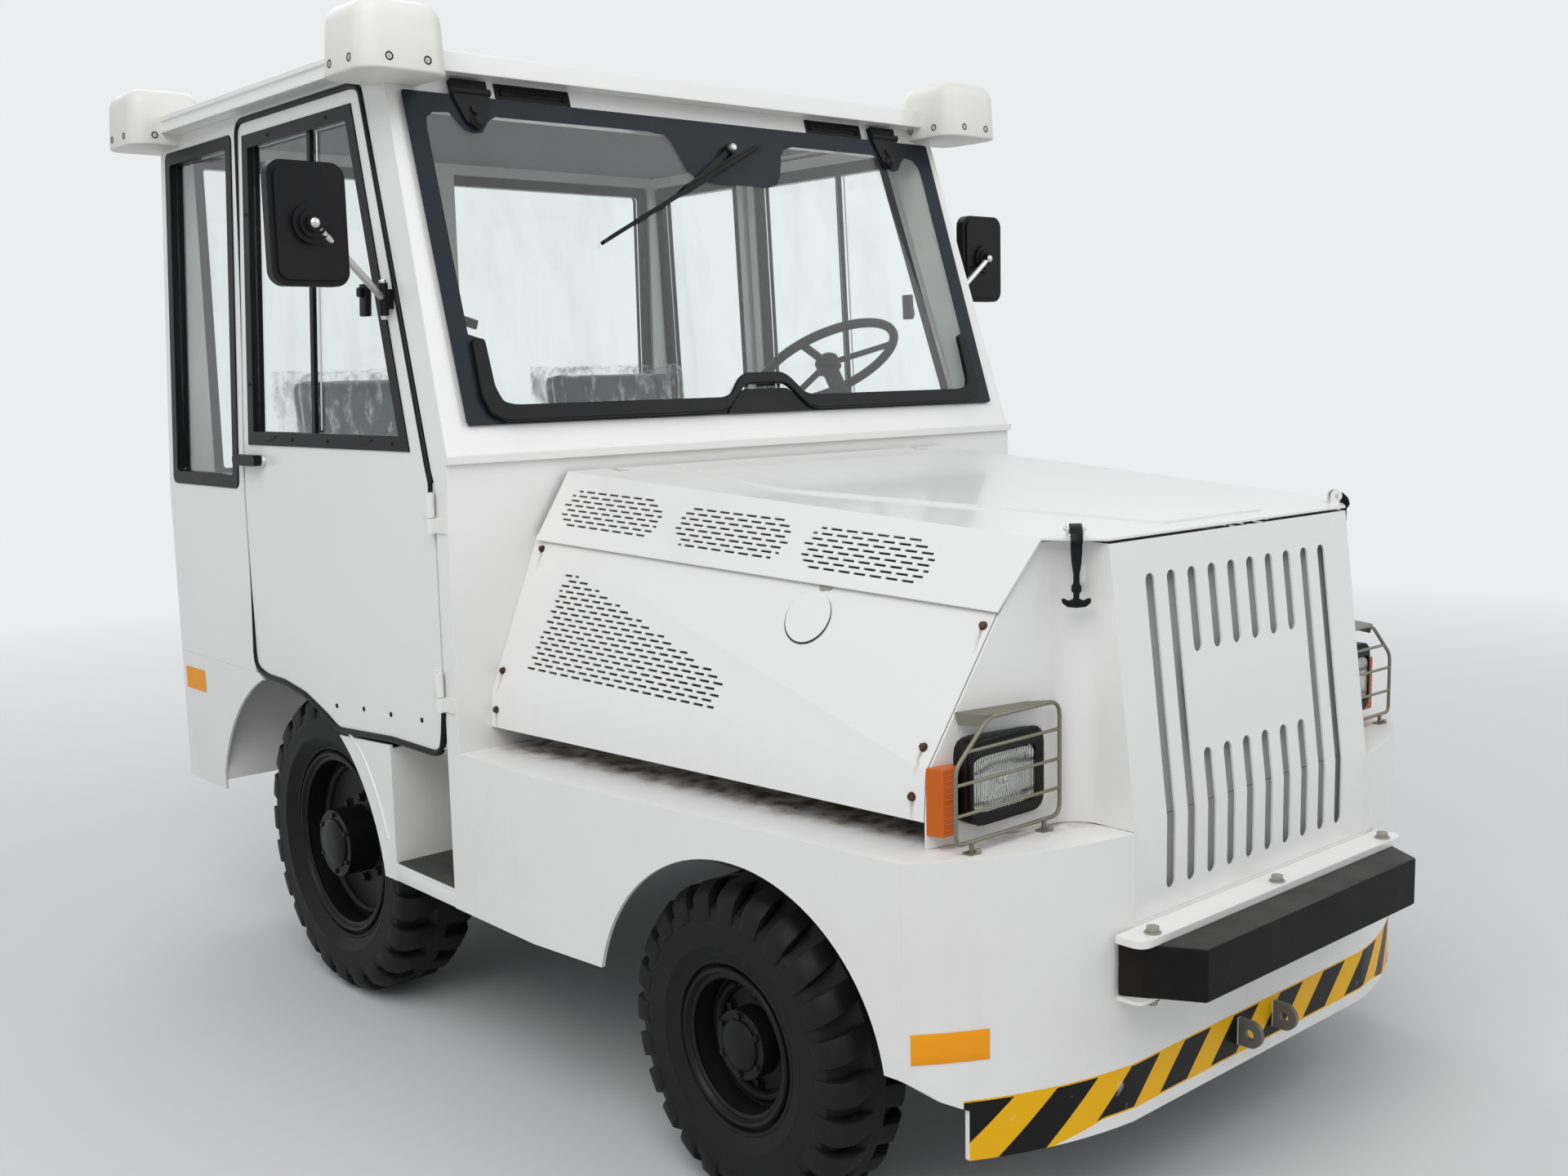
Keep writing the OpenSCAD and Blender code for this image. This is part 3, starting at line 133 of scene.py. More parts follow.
class Value:
    """A number that a shader works out; Python's operators add math nodes to its tree."""

    def __init__(self, tree, socket):
        self.tree, self.socket = tree, socket

    def math(self, operation, a, b=0.0, clamp=False):
        node = add_node(self.tree, "Math", {"operation": operation, "use_clamp": clamp})
        link_or_set(self.tree, node.inputs[0], a)
        link_or_set(self.tree, node.inputs[1], b)
        return Value(self.tree, node.outputs[0])

    def __add__(self, other):
        return self.math("ADD", self, other)

    def __sub__(self, other):
        return self.math("SUBTRACT", self, other)

    def __mul__(self, other):
        return self.math("MULTIPLY", self, other)

    def __truediv__(self, other):
        return self.math("DIVIDE", self, other)

    def __abs__(self):
        return self.math("ABSOLUTE", self)

    def __lt__(self, other):
        return self.math("LESS_THAN", self, other)

    def __gt__(self, other):
        return self.math("GREATER_THAN", self, other)

    def higher(self, other):
        return self.math("MAXIMUM", self, other)

    def left_of_one(self):
        """What is left of 1, and never below 0."""
        return self.math("SUBTRACT", 1.0, self, clamp=True)

    def scaled(self, low, high, to_low=0.0, to_high=1.0):
        """The range from low to high carried to another, and held at its ends."""
        node = add_node(self.tree, "MapRange")
        for socket, number in zip(node.inputs, (self, low, high, to_low, to_high)):
            link_or_set(self.tree, socket, number)
        return Value(self.tree, node.outputs[0])


def mix_colour(tree, factor, a, b):
    node = add_node(tree, "Mix", {"data_type": "RGBA"})
    for index, value in ((0, factor), (6, a), (7, b)):
        link_or_set(tree, node.inputs[index], value)
    return node.outputs[2]


def surface_of(tree, output="Object"):
    """Where the shaded spot lies in its object, or which way it faces there."""
    return add_node(tree, "TexCoord").outputs[output]


def object_point(tree, scale=(1, 1, 1)):
    return add_node(tree, "Mapping", Vector=surface_of(tree), Scale=scale).outputs[0]


def axis_of(tree, vector, axis):
    return Value(tree, add_node(tree, "SeparateXYZ", Vector=vector).outputs[axis])


def noise(tree, point, scale, detail=3.0, roughness=0.55):
    return Value(tree, add_node(tree, "TexNoise", Vector=point, Scale=scale, Detail=detail,
                                Roughness=roughness).outputs["Fac"])


def new_material(name, **plain):
    """A material with plain values on its shader."""
    material = bpy.data.materials.new(name)
    material.use_nodes = True
    tree = material.node_tree
    bsdf = tree.nodes["Principled BSDF"]
    for key, value in plain.items():
        link_or_set(tree, bsdf.inputs[key.replace("_", " ")], value)
    return material, tree, bsdf


def new_group(name, inputs, *outputs):
    """A shader node group, its inputs' values by name, and a function that sets its outputs."""
    group = bpy.data.node_groups.new(name, "ShaderNodeTree")
    for key, value in inputs.items():
        kind = "NodeSocketColor" if isinstance(value, tuple) else "NodeSocketFloat"
        socket = group.interface.new_socket(name=key, in_out="INPUT", socket_type=kind)
        socket.default_value = (*value, 1) if isinstance(value, tuple) else value
    for key in outputs:
        kind = "NodeSocketColor" if key == "Colour" else "NodeSocketFloat"
        group.interface.new_socket(name=key, in_out="OUTPUT", socket_type=kind)
    start, end = group.nodes.new("NodeGroupInput"), group.nodes.new("NodeGroupOutput")
    given = {key: Value(group, start.outputs[key]) for key in inputs}

    def give(**results):
        for key, value in results.items():
            link_or_set(group, end.inputs[key], value)
    return group, given, give


def place_group(tree, group, **inputs):
    return add_node(tree, "Group", {"node_tree": group}, **inputs)


def make_weather_group():
    """Dust and thin vertical streaks: heavier low down and where the noise lets it."""
    group, given, give = new_group(
        "weather",
        {"Colour": (0.8, 0.8, 0.8), "Dirt": (0.25, 0.18, 0.11), "Amount": 0.5, "Reach": 0.9,
         "Roughness": 0.4, "Specks": 0.3}, "Colour", "Roughness")
    point = object_point(group)
    blotches = noise(group, point, 4.5, 6).scaled(0.42, 0.75)
    streaks = noise(group, object_point(group, (22, 22, 1.6)), 1.0, 4).scaled(0.52, 0.8)
    low = (axis_of(group, point, "Z") / given["Reach"]).left_of_one()
    mask = (blotches + streaks * 0.7) * (low * 0.9 + 0.1)
    mask = mask.math("MULTIPLY", mask, given["Amount"], clamp=True)
    spots = Value(group, add_node(group, "TexVoronoi", Vector=point, Scale=55.0).outputs["Distance"])
    speck = (spots < noise(group, point, 9.0, 2) * 0.13 - 0.055) * given["Specks"]
    dirty = mix_colour(group, mask, given["Colour"], given["Dirt"])
    rough = mask.math("ADD", given["Roughness"], mask * 0.45, clamp=True)
    rough = rough.math("ADD", rough, noise(group, point, 30.0, 3) * 0.08, clamp=True)
    give(Colour=mix_colour(group, speck, dirty, (0.09, 0.07, 0.055)), Roughness=rough)
    return group


def make_grain_group():
    """Fine surface relief: broad waviness of sheet or mould, and a small grain."""
    group, given, give = new_group("grain", {"Wave scale": 6.0, "Wave": 0.3, "Grain scale": 900.0,
                                             "Grain": 0.3}, "Height")
    point = object_point(group)
    give(Height=noise(group, point, given["Wave scale"], 1.0, 0.5) * given["Wave"]
         + noise(group, point, given["Grain scale"], 2.0, 0.5) * given["Grain"])
    return group


def make_run_group():
    """A thin run of rust below one spot: 1 on its middle line, fading with its length."""
    group, given, give = new_group("run", {"Across": 0.0, "Height": 0.0, "Width": 0.006, "Length": 0.05},
                                   "Mask")
    point = object_point(group)
    wander = noise(group, object_point(group, (1, 1, 8)), 9.0, 1) * 0.012 - 0.006
    off = abs(axis_of(group, point, "Y") + wander - given["Across"])
    down = (given["Height"] - axis_of(group, point, "Z")) / given["Length"]
    give(Mask=(off / given["Width"]).left_of_one() * down.left_of_one() * (down > -0.06))
    return group


def make_stripe_group():
    """Slanted stripes on the band along the foot of the front: a mask of the band and one of yellow."""
    group, given, give = new_group("stripes", {"Low": 0.228, "High": 0.306, "Pitch": 0.15, "Share": 0.48},
                                   "Band", "Yellow")
    point = surface_of(group)
    x, z = (axis_of(group, point, axis) for axis in "XZ")
    # The band runs down to the sheet's lower edge at the front corners
    low = given["Low"] - abs(x).scaled(0.43, 0.56, 0.0, 0.03)
    facing = axis_of(group, surface_of(group, "Normal"), "Y")
    band = (z > low) * (z < given["High"]) * (abs(x) < 0.668) * (facing < -0.3)
    turn = (x - z - 0.005) / given["Pitch"]
    yellow = turn.math("FRACT", turn) < given["Share"]
    # A thin yellow line closes the band above and below
    line = (z > given["High"] - 0.003).higher(z < low + 0.003)
    give(Band=band, Yellow=yellow.higher(line))
    return group


def make_deck_group():
    """Where dirt and rust gather on the deck: under the side panels and at the foot of the lamp walls."""
    group, given, give = new_group("deck_dirt", {"Foot": 0.775, "Taper": 0.096, "Level": 0.699}, "Mask")
    point = object_point(group)
    x, y, z = (axis_of(group, point, axis) for axis in "XYZ")
    x = abs(x)
    ragged = noise(group, point, 14.0, 6, 0.7) * 0.11
    under = given["Foot"] + (y + 0.1) * given["Taper"] - (x - ragged)
    near_wall = (y - (x * 0.2 - 1.3596) + ragged).scaled(0.0, 0.07)
    mask = under.scaled(0.045, 0.11) * near_wall
    mask = mask.math("MULTIPLY", mask, noise(group, point, 23.0, 5).scaled(0.36, 0.62), clamp=True)
    give(Mask=mask * (abs(z - given["Level"]) < 0.0035))
    return group


WEATHER = make_weather_group()
GRAIN = make_grain_group()
RUN = make_run_group()
STRIPES = make_stripe_group()
DECK_DIRT = make_deck_group()


def finish_material(name, colour, roughness, dirt=(0.25, 0.18, 0.11), amount=0.35, reach=0.9, specks=0.2,
                    wave=0.3, wave_scale=6.0, grain=0.3, grain_scale=900.0, bump=0.1, bump_size=0.001,
                    **shader):
    """A painted, moulded or cast finish with dust and relief; shader holds plain Principled values."""
    material, tree, bsdf = new_material(name, **shader)
    weather = place_group(tree, WEATHER, Colour=colour, Dirt=dirt, Amount=amount, Reach=reach,
                          Roughness=roughness, Specks=specks)
    relief = place_group(tree, GRAIN, Wave_scale=wave_scale, Wave=wave, Grain_scale=grain_scale, Grain=grain)
    bump_node = add_node(tree, "Bump", Strength=bump, Distance=bump_size, Height=relief.outputs["Height"])
    for output, socket in ((weather.outputs["Colour"], "Base Color"), (weather.outputs["Roughness"], "Roughness"),
                           (bump_node.outputs["Normal"], "Normal")):
        tree.links.new(output, bsdf.inputs[socket])
    return material


def repaint(material, change):
    """The finish's own colour goes through a function of its tree before it reaches the surface."""
    tree = material.node_tree
    socket = tree.nodes["Principled BSDF"].inputs["Base Color"]
    link_or_set(tree, socket, change(tree, socket.links[0].from_socket))
    return material


def make_glass(name, tint):
    """Clear glass with faint dried streaks that dim it a little."""
    material, tree, bsdf = new_material(name, Roughness=0.0, Transmission_Weight=1.0, IOR=1.27)
    smear = noise(tree, object_point(tree, (1, 1, 0.3)), 9.0, 5).scaled(0.5, 0.8)
    link_or_set(tree, bsdf.inputs["Base Color"], mix_colour(tree, smear, tint, (0.84, 0.85, 0.84)))
    return material


PAINT = (0.80, 0.795, 0.775)
RUST = (0.13, 0.055, 0.025)
BLACK_GLOSS = 0.16
SHEET = dict(amount=0.12, reach=1.0, specks=0.25, wave=1.0, wave_scale=2.6, grain=0.06, bump=0.22,
             Coat_Weight=0.3, Coat_Roughness=0.08)
# Finishes by name: colour, roughness, and what differs from a plain painted one
FINISHES = {
    "white_paint": (PAINT, 0.3, SHEET),
    "chassis_paint": ((0.022, 0.022, 0.024), 0.5, dict(amount=0.4)),
    "engine": ((0.17, 0.175, 0.18), 0.6, dict(grain=1.0, bump=0.5)),
    "black_rubber": ((0.005, 0.0052, 0.006), 0.36, dict(
        amount=0.05, specks=0.0, grain=0.6, grain_scale=500.0, bump=0.25, Specular_IOR_Level=BLACK_GLOSS)),
    "lamp": ((0.005, 0.005, 0.0055), 0.3, dict(amount=0.1, specks=0.0, Specular_IOR_Level=0.2)),
    "galvanised": ((0.36, 0.35, 0.30), 0.42, dict(
        amount=0.15, grain=0.5, grain_scale=300.0, bump=0.3, Metallic=0.5)),
    "amber": ((0.66, 0.13, 0.003), 0.2, dict(
        amount=0.05, specks=0.0, Transmission_Weight=0.15, Specular_IOR_Level=0.3)),
    "red_lens": ((0.45, 0.012, 0.01), 0.15, dict(
        amount=0.1, specks=0.0, Transmission_Weight=0.25, Coat_Weight=0.5)),
    "cream_plastic": ((0.77, 0.76, 0.715), 0.42, dict(
        amount=0.12, reach=3.0, specks=0.15, grain=0.8, grain_scale=450.0, bump=0.3)),
    "black_plastic": ((0.006, 0.0063, 0.0075), 0.4, dict(
        amount=0.06, reach=3.0, specks=0.05, grain=0.8, grain_scale=600.0, bump=0.3,
        Specular_IOR_Level=BLACK_GLOSS)),
    "floor_mat": ((0.035, 0.038, 0.036), 0.75, dict(amount=0.6, grain=1.0, grain_scale=200.0, bump=0.6)),
    "seat_vinyl": ((0.050, 0.056, 0.064), 0.38, dict(
        amount=0.03, reach=3.0, specks=0.0, grain=0.7, grain_scale=350.0, bump=0.5)),
    "rim_paint": ((0.005, 0.005, 0.0055), 0.34, dict(
        amount=0.12, reach=0.8, dirt=(0.06, 0.055, 0.05), Specular_IOR_Level=0.18)),
    "tyre": ((0.0065, 0.0065, 0.007), 0.5, dict(
        amount=0.16, reach=0.6, specks=0.0, dirt=(0.08, 0.072, 0.065), grain=1.0, grain_scale=260.0,
        bump=0.3, Specular_IOR_Level=0.18)),
    "glass_border": ((0.009, 0.0135, 0.021), 0.35, dict(
        amount=0.04, reach=3.0, specks=0.05, Specular_IOR_Level=BLACK_GLOSS)),
    "bright_steel": ((0.62, 0.62, 0.60), 0.28, dict(amount=0.08, reach=3.0, Metallic=0.9)),
    "weathered_bolt": ((0.055, 0.022, 0.017), 0.6, dict(
        amount=0.4, reach=3.0, grain=1.0, grain_scale=300.0, bump=0.5, Metallic=0.25)),
    "zinc_bolt": ((0.36, 0.35, 0.31), 0.45, dict(
        amount=0.4, reach=3.0, grain=0.6, grain_scale=300.0, bump=0.4, Metallic=0.6)),
    "orange_tape": ((0.90, 0.34, 0.006), 0.4, dict(
        amount=0.10, wave=0.0, grain=1.0, grain_scale=420.0, bump=0.35, Specular_IOR_Level=0.2)),
    "mirror_glass": ((0.86, 0.88, 0.9), 0.03, dict(
        amount=0.02, reach=3.0, specks=0.0, grain=0.0, wave=0.0, Metallic=1.0)),
    "piping": ((0.68, 0.68, 0.66), 0.45, dict(amount=0.1, reach=3.0)),
    "dial_face": ((0.03, 0.03, 0.032), 0.3, dict(amount=0.0, specks=0.0, Coat_Weight=0.6)),
    "screen_mesh": ((0.62, 0.62, 0.62), 0.5, dict(
        amount=0.3, grain=1.0, grain_scale=420.0, bump=0.8, Metallic=0.2)),
    "guard_wire": ((0.21, 0.205, 0.165), 0.4, dict(
        amount=0.2, reach=3.0, grain=0.5, grain_scale=300.0, bump=0.3, Metallic=0.6)),
    # Dark grey of the board under the roof: painted shade inside the cab
    "headliner_painted_shade": ((0.25, 0.255, 0.255), 0.85, dict(
        amount=0.05, reach=3.0, specks=0.0, grain=1.0, grain_scale=380.0, bump=0.6, Specular_IOR_Level=0.2)),
    "lamp_dish": ((0.66, 0.66, 0.65), 0.14, dict(
        amount=0.05, specks=0.0, wave=0.0, grain=0.0, Metallic=1.0)),
    "front_paint": (PAINT, 0.36, {**SHEET, "Coat_Weight": 0.0, "Specular_IOR_Level": 0.22}),
    "panel_paint": (PAINT, 0.3, SHEET),
    "pad_rubber": ((0.0045, 0.0045, 0.005), 0.5, dict(
        amount=0.06, specks=0.1, grain=1.0, grain_scale=240.0, bump=0.5, Specular_IOR_Level=0.14)),
}
# Two slots share their names with materials of the frame, so their finishes have names of their own
OWN_NAMES = {"engine": "engine_paint", "lamp": "lamp_housing"}
MATERIALS = {name: finish_material(OWN_NAMES.get(name, name), colour, roughness, **more)
             for name, (colour, roughness, more) in FINISHES.items()}
for name, tint in (("glass", (0.93, 0.965, 0.955)), ("lamp_glass", (0.97, 0.98, 0.97))):
    MATERIALS[name] = make_glass(name, tint)
# Screws at the ends of the side panels: [y, z]
PANEL_SCREWS = [(-0.130, 1.101), (-0.117, 0.858), (-0.117, 0.780), (-1.233, 1.042), (-1.202, 0.857),
                (-1.196, 0.780)]


def flute_dish():
    """The lamps' bright reflector gets fine upright flutes."""
    tree = MATERIALS["lamp_dish"].node_tree
    flutes = add_node(tree, "TexWave", Vector=object_point(tree), Scale=52.0, Distortion=0.0).outputs["Fac"]
    bump_node = add_node(tree, "Bump", Strength=0.9, Distance=0.0015, Height=flutes)
    tree.links.new(bump_node.outputs["Normal"], tree.nodes["Principled BSDF"].inputs["Normal"])


def stripe_front(tree, base):
    """The body's white paint gets the stripes at its foot and the dirt on its deck."""
    stripes = place_group(tree, STRIPES).outputs
    tones = mix_colour(tree, stripes["Yellow"], (0.003, 0.003, 0.003), (0.84, 0.45, 0.003))
    # Scuffs let some of the white show through the band
    worn = noise(tree, object_point(tree), 26.0, 5).scaled(0.66, 0.74, 1.0, 0.7)
    banded = mix_colour(tree, worn * stripes["Band"], base, tones)
    # The towing ears stand proud of the sheet and are bare grey metal
    proud = axis_of(tree, object_point(tree), "Y") < NOSE_Y - 0.0025
    banded = mix_colour(tree, proud, banded, (0.15, 0.15, 0.148))
    dusty = mix_colour(tree, noise(tree, object_point(tree), 40.0, 4), (0.30, 0.21, 0.12), RUST)
    return mix_colour(tree, place_group(tree, DECK_DIRT).outputs["Mask"], banded, dusty)


def run_with_rust(tree, colour):
    """Runs of rust below the side panels' screws."""
    for y, z in PANEL_SCREWS:
        run = place_group(tree, RUN, Across=y, Height=z, Width=0.005, Length=0.045)
        colour = mix_colour(tree, Value(tree, run.outputs["Mask"]) * 0.75, colour, RUST)
    return colour


def paler_on_top(tree, base):
    """Faces that look up get a paler grey, in patches."""
    # Paler grey on the rubber's upward faces, in patches
    patchy = noise(tree, object_point(tree), 12.0, 5).scaled(0.3, 0.7, 0.45, 0.95)
    up = axis_of(tree, surface_of(tree, "Normal"), "Z").scaled(0.55, 0.9)
    return mix_colour(tree, up * patchy, base, (0.060, 0.058, 0.056))


def make_film():
    """Clear wrapping film: mostly see-through, with painted white highlights where its folds make it opaque."""
    material, tree, bsdf = new_material("clear_film", Base_Color=(0.86, 0.88, 0.88), Roughness=0.12)
    folds = noise(tree, object_point(tree, (1, 1, 0.35)), 34.0, 5, 0.65)
    bump_node = add_node(tree, "Bump", Strength=0.7, Distance=0.004, Height=folds)
    tree.links.new(bump_node.outputs["Normal"], bsdf.inputs["Normal"])
    # The film turns opaque white along the folds' noise: painted highlights of its crinkles
    link_or_set(tree, bsdf.inputs["Alpha"], folds.scaled(0.50, 0.66, 0.05, 0.70))
    return material


flute_dish()
for name, change in (("front_paint", stripe_front), ("panel_paint", run_with_rust),
                     ("pad_rubber", paler_on_top)):
    repaint(MATERIALS[name], change)
MATERIALS["clear_film"] = make_film()


def dress_nodes():
    """Every node of the frame gets the material of its slot."""
    for node, slot in SLOT_OF.items():
        mesh = NODES[node].data
        mesh.materials.clear()
        mesh.materials.append(MATERIALS[slot])


# Modelling helpers
def deselect():
    if bpy.context.object and bpy.context.object.mode != "OBJECT":
        bpy.ops.object.mode_set(mode="OBJECT")
    bpy.ops.object.select_all(action="DESELECT")


def only(obj):
    deselect()
    obj.select_set(True)
    bpy.context.view_layer.objects.active = obj


@contextmanager
def editing(obj, select="SELECT"):
    """Edit mode on one object, with all or none of its mesh selected."""
    only(obj)
    bpy.ops.object.mode_set(mode="EDIT")
    bpy.ops.mesh.select_all(action=select)
    yield
    bpy.ops.object.mode_set(mode="OBJECT")


def apply_modifier(obj, kind, **settings):
    only(obj)
    modifier = obj.modifiers.new(kind.lower(), kind)
    for key, value in settings.items():
        setattr(modifier, key, value)
    bpy.ops.object.modifier_apply(modifier=modifier.name)


def carry(obj, slot, material=None, body="chassis", replaces=()):
    """The piece rides on a body, takes its finish and stands for the nodes it replaces."""
    obj.data.materials.clear()
    obj.data.materials.append(MATERIALS[material or slot])
    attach(obj, body)
    if replaces:
        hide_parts(*replaces)
    return obj


def place_at(origin, x_axis, z_axis):
    """Matrix with its origin at a point, z along one direction and x near another."""
    z = Vector(z_axis).normalized()
    x = (Vector(x_axis) - Vector(x_axis).dot(z) * z).normalized()
    return shift(Vector(origin)) @ Matrix((x, z.cross(x), z)).transposed().to_4x4()


def shift(*by):
    return Matrix.Translation(by[0] if len(by) == 1 else by)


def turned(angle, axis="Z"):
    return Matrix.Rotation(angle, 4, axis)


def round_about(count):
    """Matrices of equal turns about z."""
    return [turned(i * tau / count) for i in range(count)]


def shifts_on_both(spots):
    """Plain shifts to spots given on the +X side, and to their like on the -X side first."""
    return [shift(side * x, y, z) for side in (-1, 1) for x, y, z in spots]


def on_side(side, place):
    """A place on the +X side as it is, or mirrored to the -X side."""
    return place if side > 0 else MIRRORED @ place


def fresh(name):
    """The object that an operator has just made, named, with its place in its mesh."""
    obj = bpy.context.object
    obj.name = name
    bpy.ops.object.transform_apply(location=True, rotation=True, scale=True)
    return obj


def twin_of(obj, name):
    """A copy with its own mesh."""
    twin = obj.copy()
    twin.data = obj.data.copy()
    twin.name = name
    bpy.context.scene.collection.objects.link(twin)
    return twin


def moved(obj, place):
    """Its mesh is carried to a place; a mirrored one keeps its faces outward."""
    obj.data.transform(place)
    if place.determinant() < 0:
        obj.data.flip_normals()
    return obj


def smooth_by(obj, degrees):
    only(obj)
    bpy.ops.object.shade_smooth_by_angle(angle=radians(degrees))


def bevel_edges(obj, width, segments, angle=SHARP):
    apply_modifier(obj, "BEVEL", width=width, segments=segments, limit_method="ANGLE", angle_limit=radians(angle))


def settle(obj, place=None, bevel=0.0, segments=2, smooth=SHARP, flat=False):
    """Doubles are merged, faces turned outward, edges rounded, and the piece put in its place."""
    with editing(obj):
        bpy.ops.mesh.remove_doubles(threshold=WELD)
        bpy.ops.mesh.normals_make_consistent(inside=False)
    if bevel:
        bevel_edges(obj, bevel, segments)
    if place is not None:
        moved(obj, place)
    smooth_by(obj, smooth)
    if bevel and flat:
        apply_modifier(obj, "WEIGHTED_NORMAL", keep_sharp=True)
    return obj


def round_edges(obj, chosen, width, segments=5):
    """Only the edges whose two ends pass the test are rounded."""
    bpy.context.tool_settings.mesh_select_mode = (False, True, False)
    with editing(obj, "DESELECT"):
        pass
    for edge in obj.data.edges:
        edge.select = chosen(*(obj.data.vertices[i].co for i in edge.vertices))
    bpy.ops.object.mode_set(mode="EDIT")
    bpy.ops.mesh.bevel(offset=width, segments=segments, affect="EDGES")
    bpy.ops.object.mode_set(mode="OBJECT")
    bpy.context.tool_settings.mesh_select_mode = (True, False, False)


def fillet(points, radius, closed=True, steps=4):
    """A path whose corners are rounded, all by one radius or each by its own."""
    points = [Vector((*p, 0)[:3]) for p in points]
    path = []
    for i, corner in enumerate(points):
        size = radius[i] if isinstance(radius, (list, tuple)) else radius
        if size == 0 or (not closed and i in (0, len(points) - 1)):
            path.append(corner)
            continue
        back, ahead = points[i - 1] - corner, points[(i + 1) % len(points)] - corner
        start = corner + back.normalized() * min(size, back.length * 0.49)
        end = corner + ahead.normalized() * min(size, ahead.length * 0.49)
        for k in range(steps + 1):
            t = k / steps
            path.append(start * (1 - t) ** 2 + corner * 2 * t * (1 - t) + end * t * t)
    return path


def bend(points, radius, steps=4):
    """An open path with rounded corners."""
    return fillet(points, radius, closed=False, steps=steps)


def rect(low_x, low_y, high_x, high_y, radius=0.0):
    """The outline of a box from its lower left corner to its upper right one."""
    corners = [(low_x, low_y), (high_x, low_y), (high_x, high_y), (low_x, high_y)]
    return fillet(corners, radius) if radius else corners


def box_path(w, h, x=0.0, y=0.0, radius=0.0):
    """The outline of a box round a middle point, with its corners rounded."""
    return rect(x - w / 2, y - h / 2, x + w / 2, y + h / 2, radius)


def ring(points):
    """A closed ring of edges whose corners are moved to the given points."""
    deselect()
    bpy.ops.mesh.primitive_circle_add(vertices=len(points), fill_type="NOTHING")
    obj = bpy.context.object
    for vertex, point in zip(obj.data.vertices, points):
        vertex.co = (*point, 0)[:3]
    return obj


def grid(name, columns, rows, size, spot):
    """A sheet of faces whose points are put where a function of their x and y says."""
    deselect()
    bpy.ops.mesh.primitive_grid_add(x_subdivisions=columns, y_subdivisions=rows, size=size)
    obj = fresh(name)
    for vertex in obj.data.vertices:
        vertex.co = spot(vertex.co.x, vertex.co.y)
    return obj


def join(parts, name):
    deselect()
    for part in parts:
        part.select_set(True)
    bpy.context.view_layer.objects.active = parts[0]
    if len(parts) > 1:
        bpy.ops.object.join()
    parts[0].name = name
    return parts[0]


def plate(name, outline, thick, place=None, holes=(), bevel=0.0, segments=2, smooth=SHARP):
    """A flat plate with its outline in x and y, filled round its holes and extruded along z."""
    obj = join([ring(points) for points in (outline, *holes)], name)
    fresh(name)
    with editing(obj):
        if holes:
            bpy.ops.mesh.fill(use_beauty=True)
            bpy.ops.mesh.dissolve_limited(angle_limit=radians(FLAT))
        else:
            bpy.ops.mesh.edge_face_add()
        bpy.ops.mesh.select_all(action="SELECT")
        bpy.ops.mesh.extrude_region_move(TRANSFORM_OT_translate={"value": (0, 0, thick)})
    return settle(obj, place, bevel, segments, smooth, flat=True)


def lathe(name, profile, place=None, steps=48, bevel=0.0, smooth=SHARP):
    """A closed profile of (radius, height) corners, turned about z."""
    obj = ring([(r, 0, h) for r, h in profile])
    fresh(name)
    apply_modifier(obj, "SCREW", angle=tau, steps=steps, render_steps=steps, use_merge_vertices=True,
                   merge_threshold=WELD)
    return settle(obj, place, bevel, 2, smooth)


def tube(name, points, radius, closed=False, place=None, sides=3):
    """A round bar along a path of points."""
    deselect()
    path = bpy.data.curves.new(name, "CURVE")
    path.dimensions = "3D"
    path.bevel_depth = radius
    path.bevel_resolution = sides
    path.use_fill_caps = not closed
    spline = path.splines.new("POLY")
    spline.points.add(len(points) - 1)
    for corner, point in zip(spline.points, points):
        corner.co = (*point, 1)
    spline.use_cyclic_u = closed
    obj = bpy.data.objects.new(name, path)
    bpy.context.scene.collection.objects.link(obj)
    only(obj)
    bpy.ops.object.convert(target="MESH")
    return settle(fresh(name), place, smooth=50)


def block(name, low, high, place=None, bevel=0.002, segments=2):
    """A block between two corners, with its edges rounded."""
    low, high = Vector(low), Vector(high)
    deselect()
    bpy.ops.mesh.primitive_cube_add(size=1, location=(low + high) / 2, scale=high - low)
    return settle(fresh(name), place, bevel, segments)


def copies(source, places, name):
    """Copies of a part at several places, each with its own mesh, joined into one piece."""
    made = [moved(twin_of(source, source.name), place) for place in places]
    bpy.data.objects.remove(source)
    return join(made, name)


def both_sides(source, name):
    return copies(source, [Matrix.Identity(4), MIRRORED], name)


def surface(mesh):
    """The faces of a mesh, ready for lines to be cast at them."""
    return BVHTree.FromPolygons([v.co for v in mesh.vertices], [tuple(p.vertices) for p in mesh.polygons])


@cache
def surface_of_node(node):
    return surface(NODES[node].data)


def on_face(node, point, aim):
    """Where a line from a point meets a node, with the way out of its face."""
    aim = Vector(aim).normalized()
    place, normal, _, _ = surface_of_node(node).ray_cast(Vector(point), aim)
    if place is None:
        raise ValueError(f"nothing of {node} lies that way from {tuple(point)}")
    return place, (normal if normal.dot(aim) < 0 else -normal)


def seats_on(node, points, aim):
    """Places on a node's face, with z out of it, met from each point."""
    places = []
    for point in points:
        place, out = on_face(node, point, aim)
        places.append(place_at(place, (0.3, 0.2, 1) if abs(out.z) < 0.9 else X, out))
    return places


def hex_bolt(size):
    """A hexagon bolt's head on its washer, standing on z = 0."""
    washer = lathe("bolt", [(0, 0), (size * 1.25, 0), (size * 1.25, size * 0.22), (0, size * 0.22)], steps=20)
    with editing(washer):
        bpy.ops.mesh.primitive_cylinder_add(vertices=6, radius=size, depth=size * 0.9,
                                            location=(0, 0, size * 0.55))
    return settle(washer, bevel=size * 0.1)


def pan_screw(size):
    """A round-headed screw with a cross recess, standing on z = 0."""
    profile = [(0, 0), (1, 0), (0.94, 0.25), (0.72, 0.45), (0.35, 0.55), (0.3, 0.3), (0, 0.2)]
    return settle(lathe("screw", [(size * r, size * h) for r, h in profile], steps=16), smooth=50)


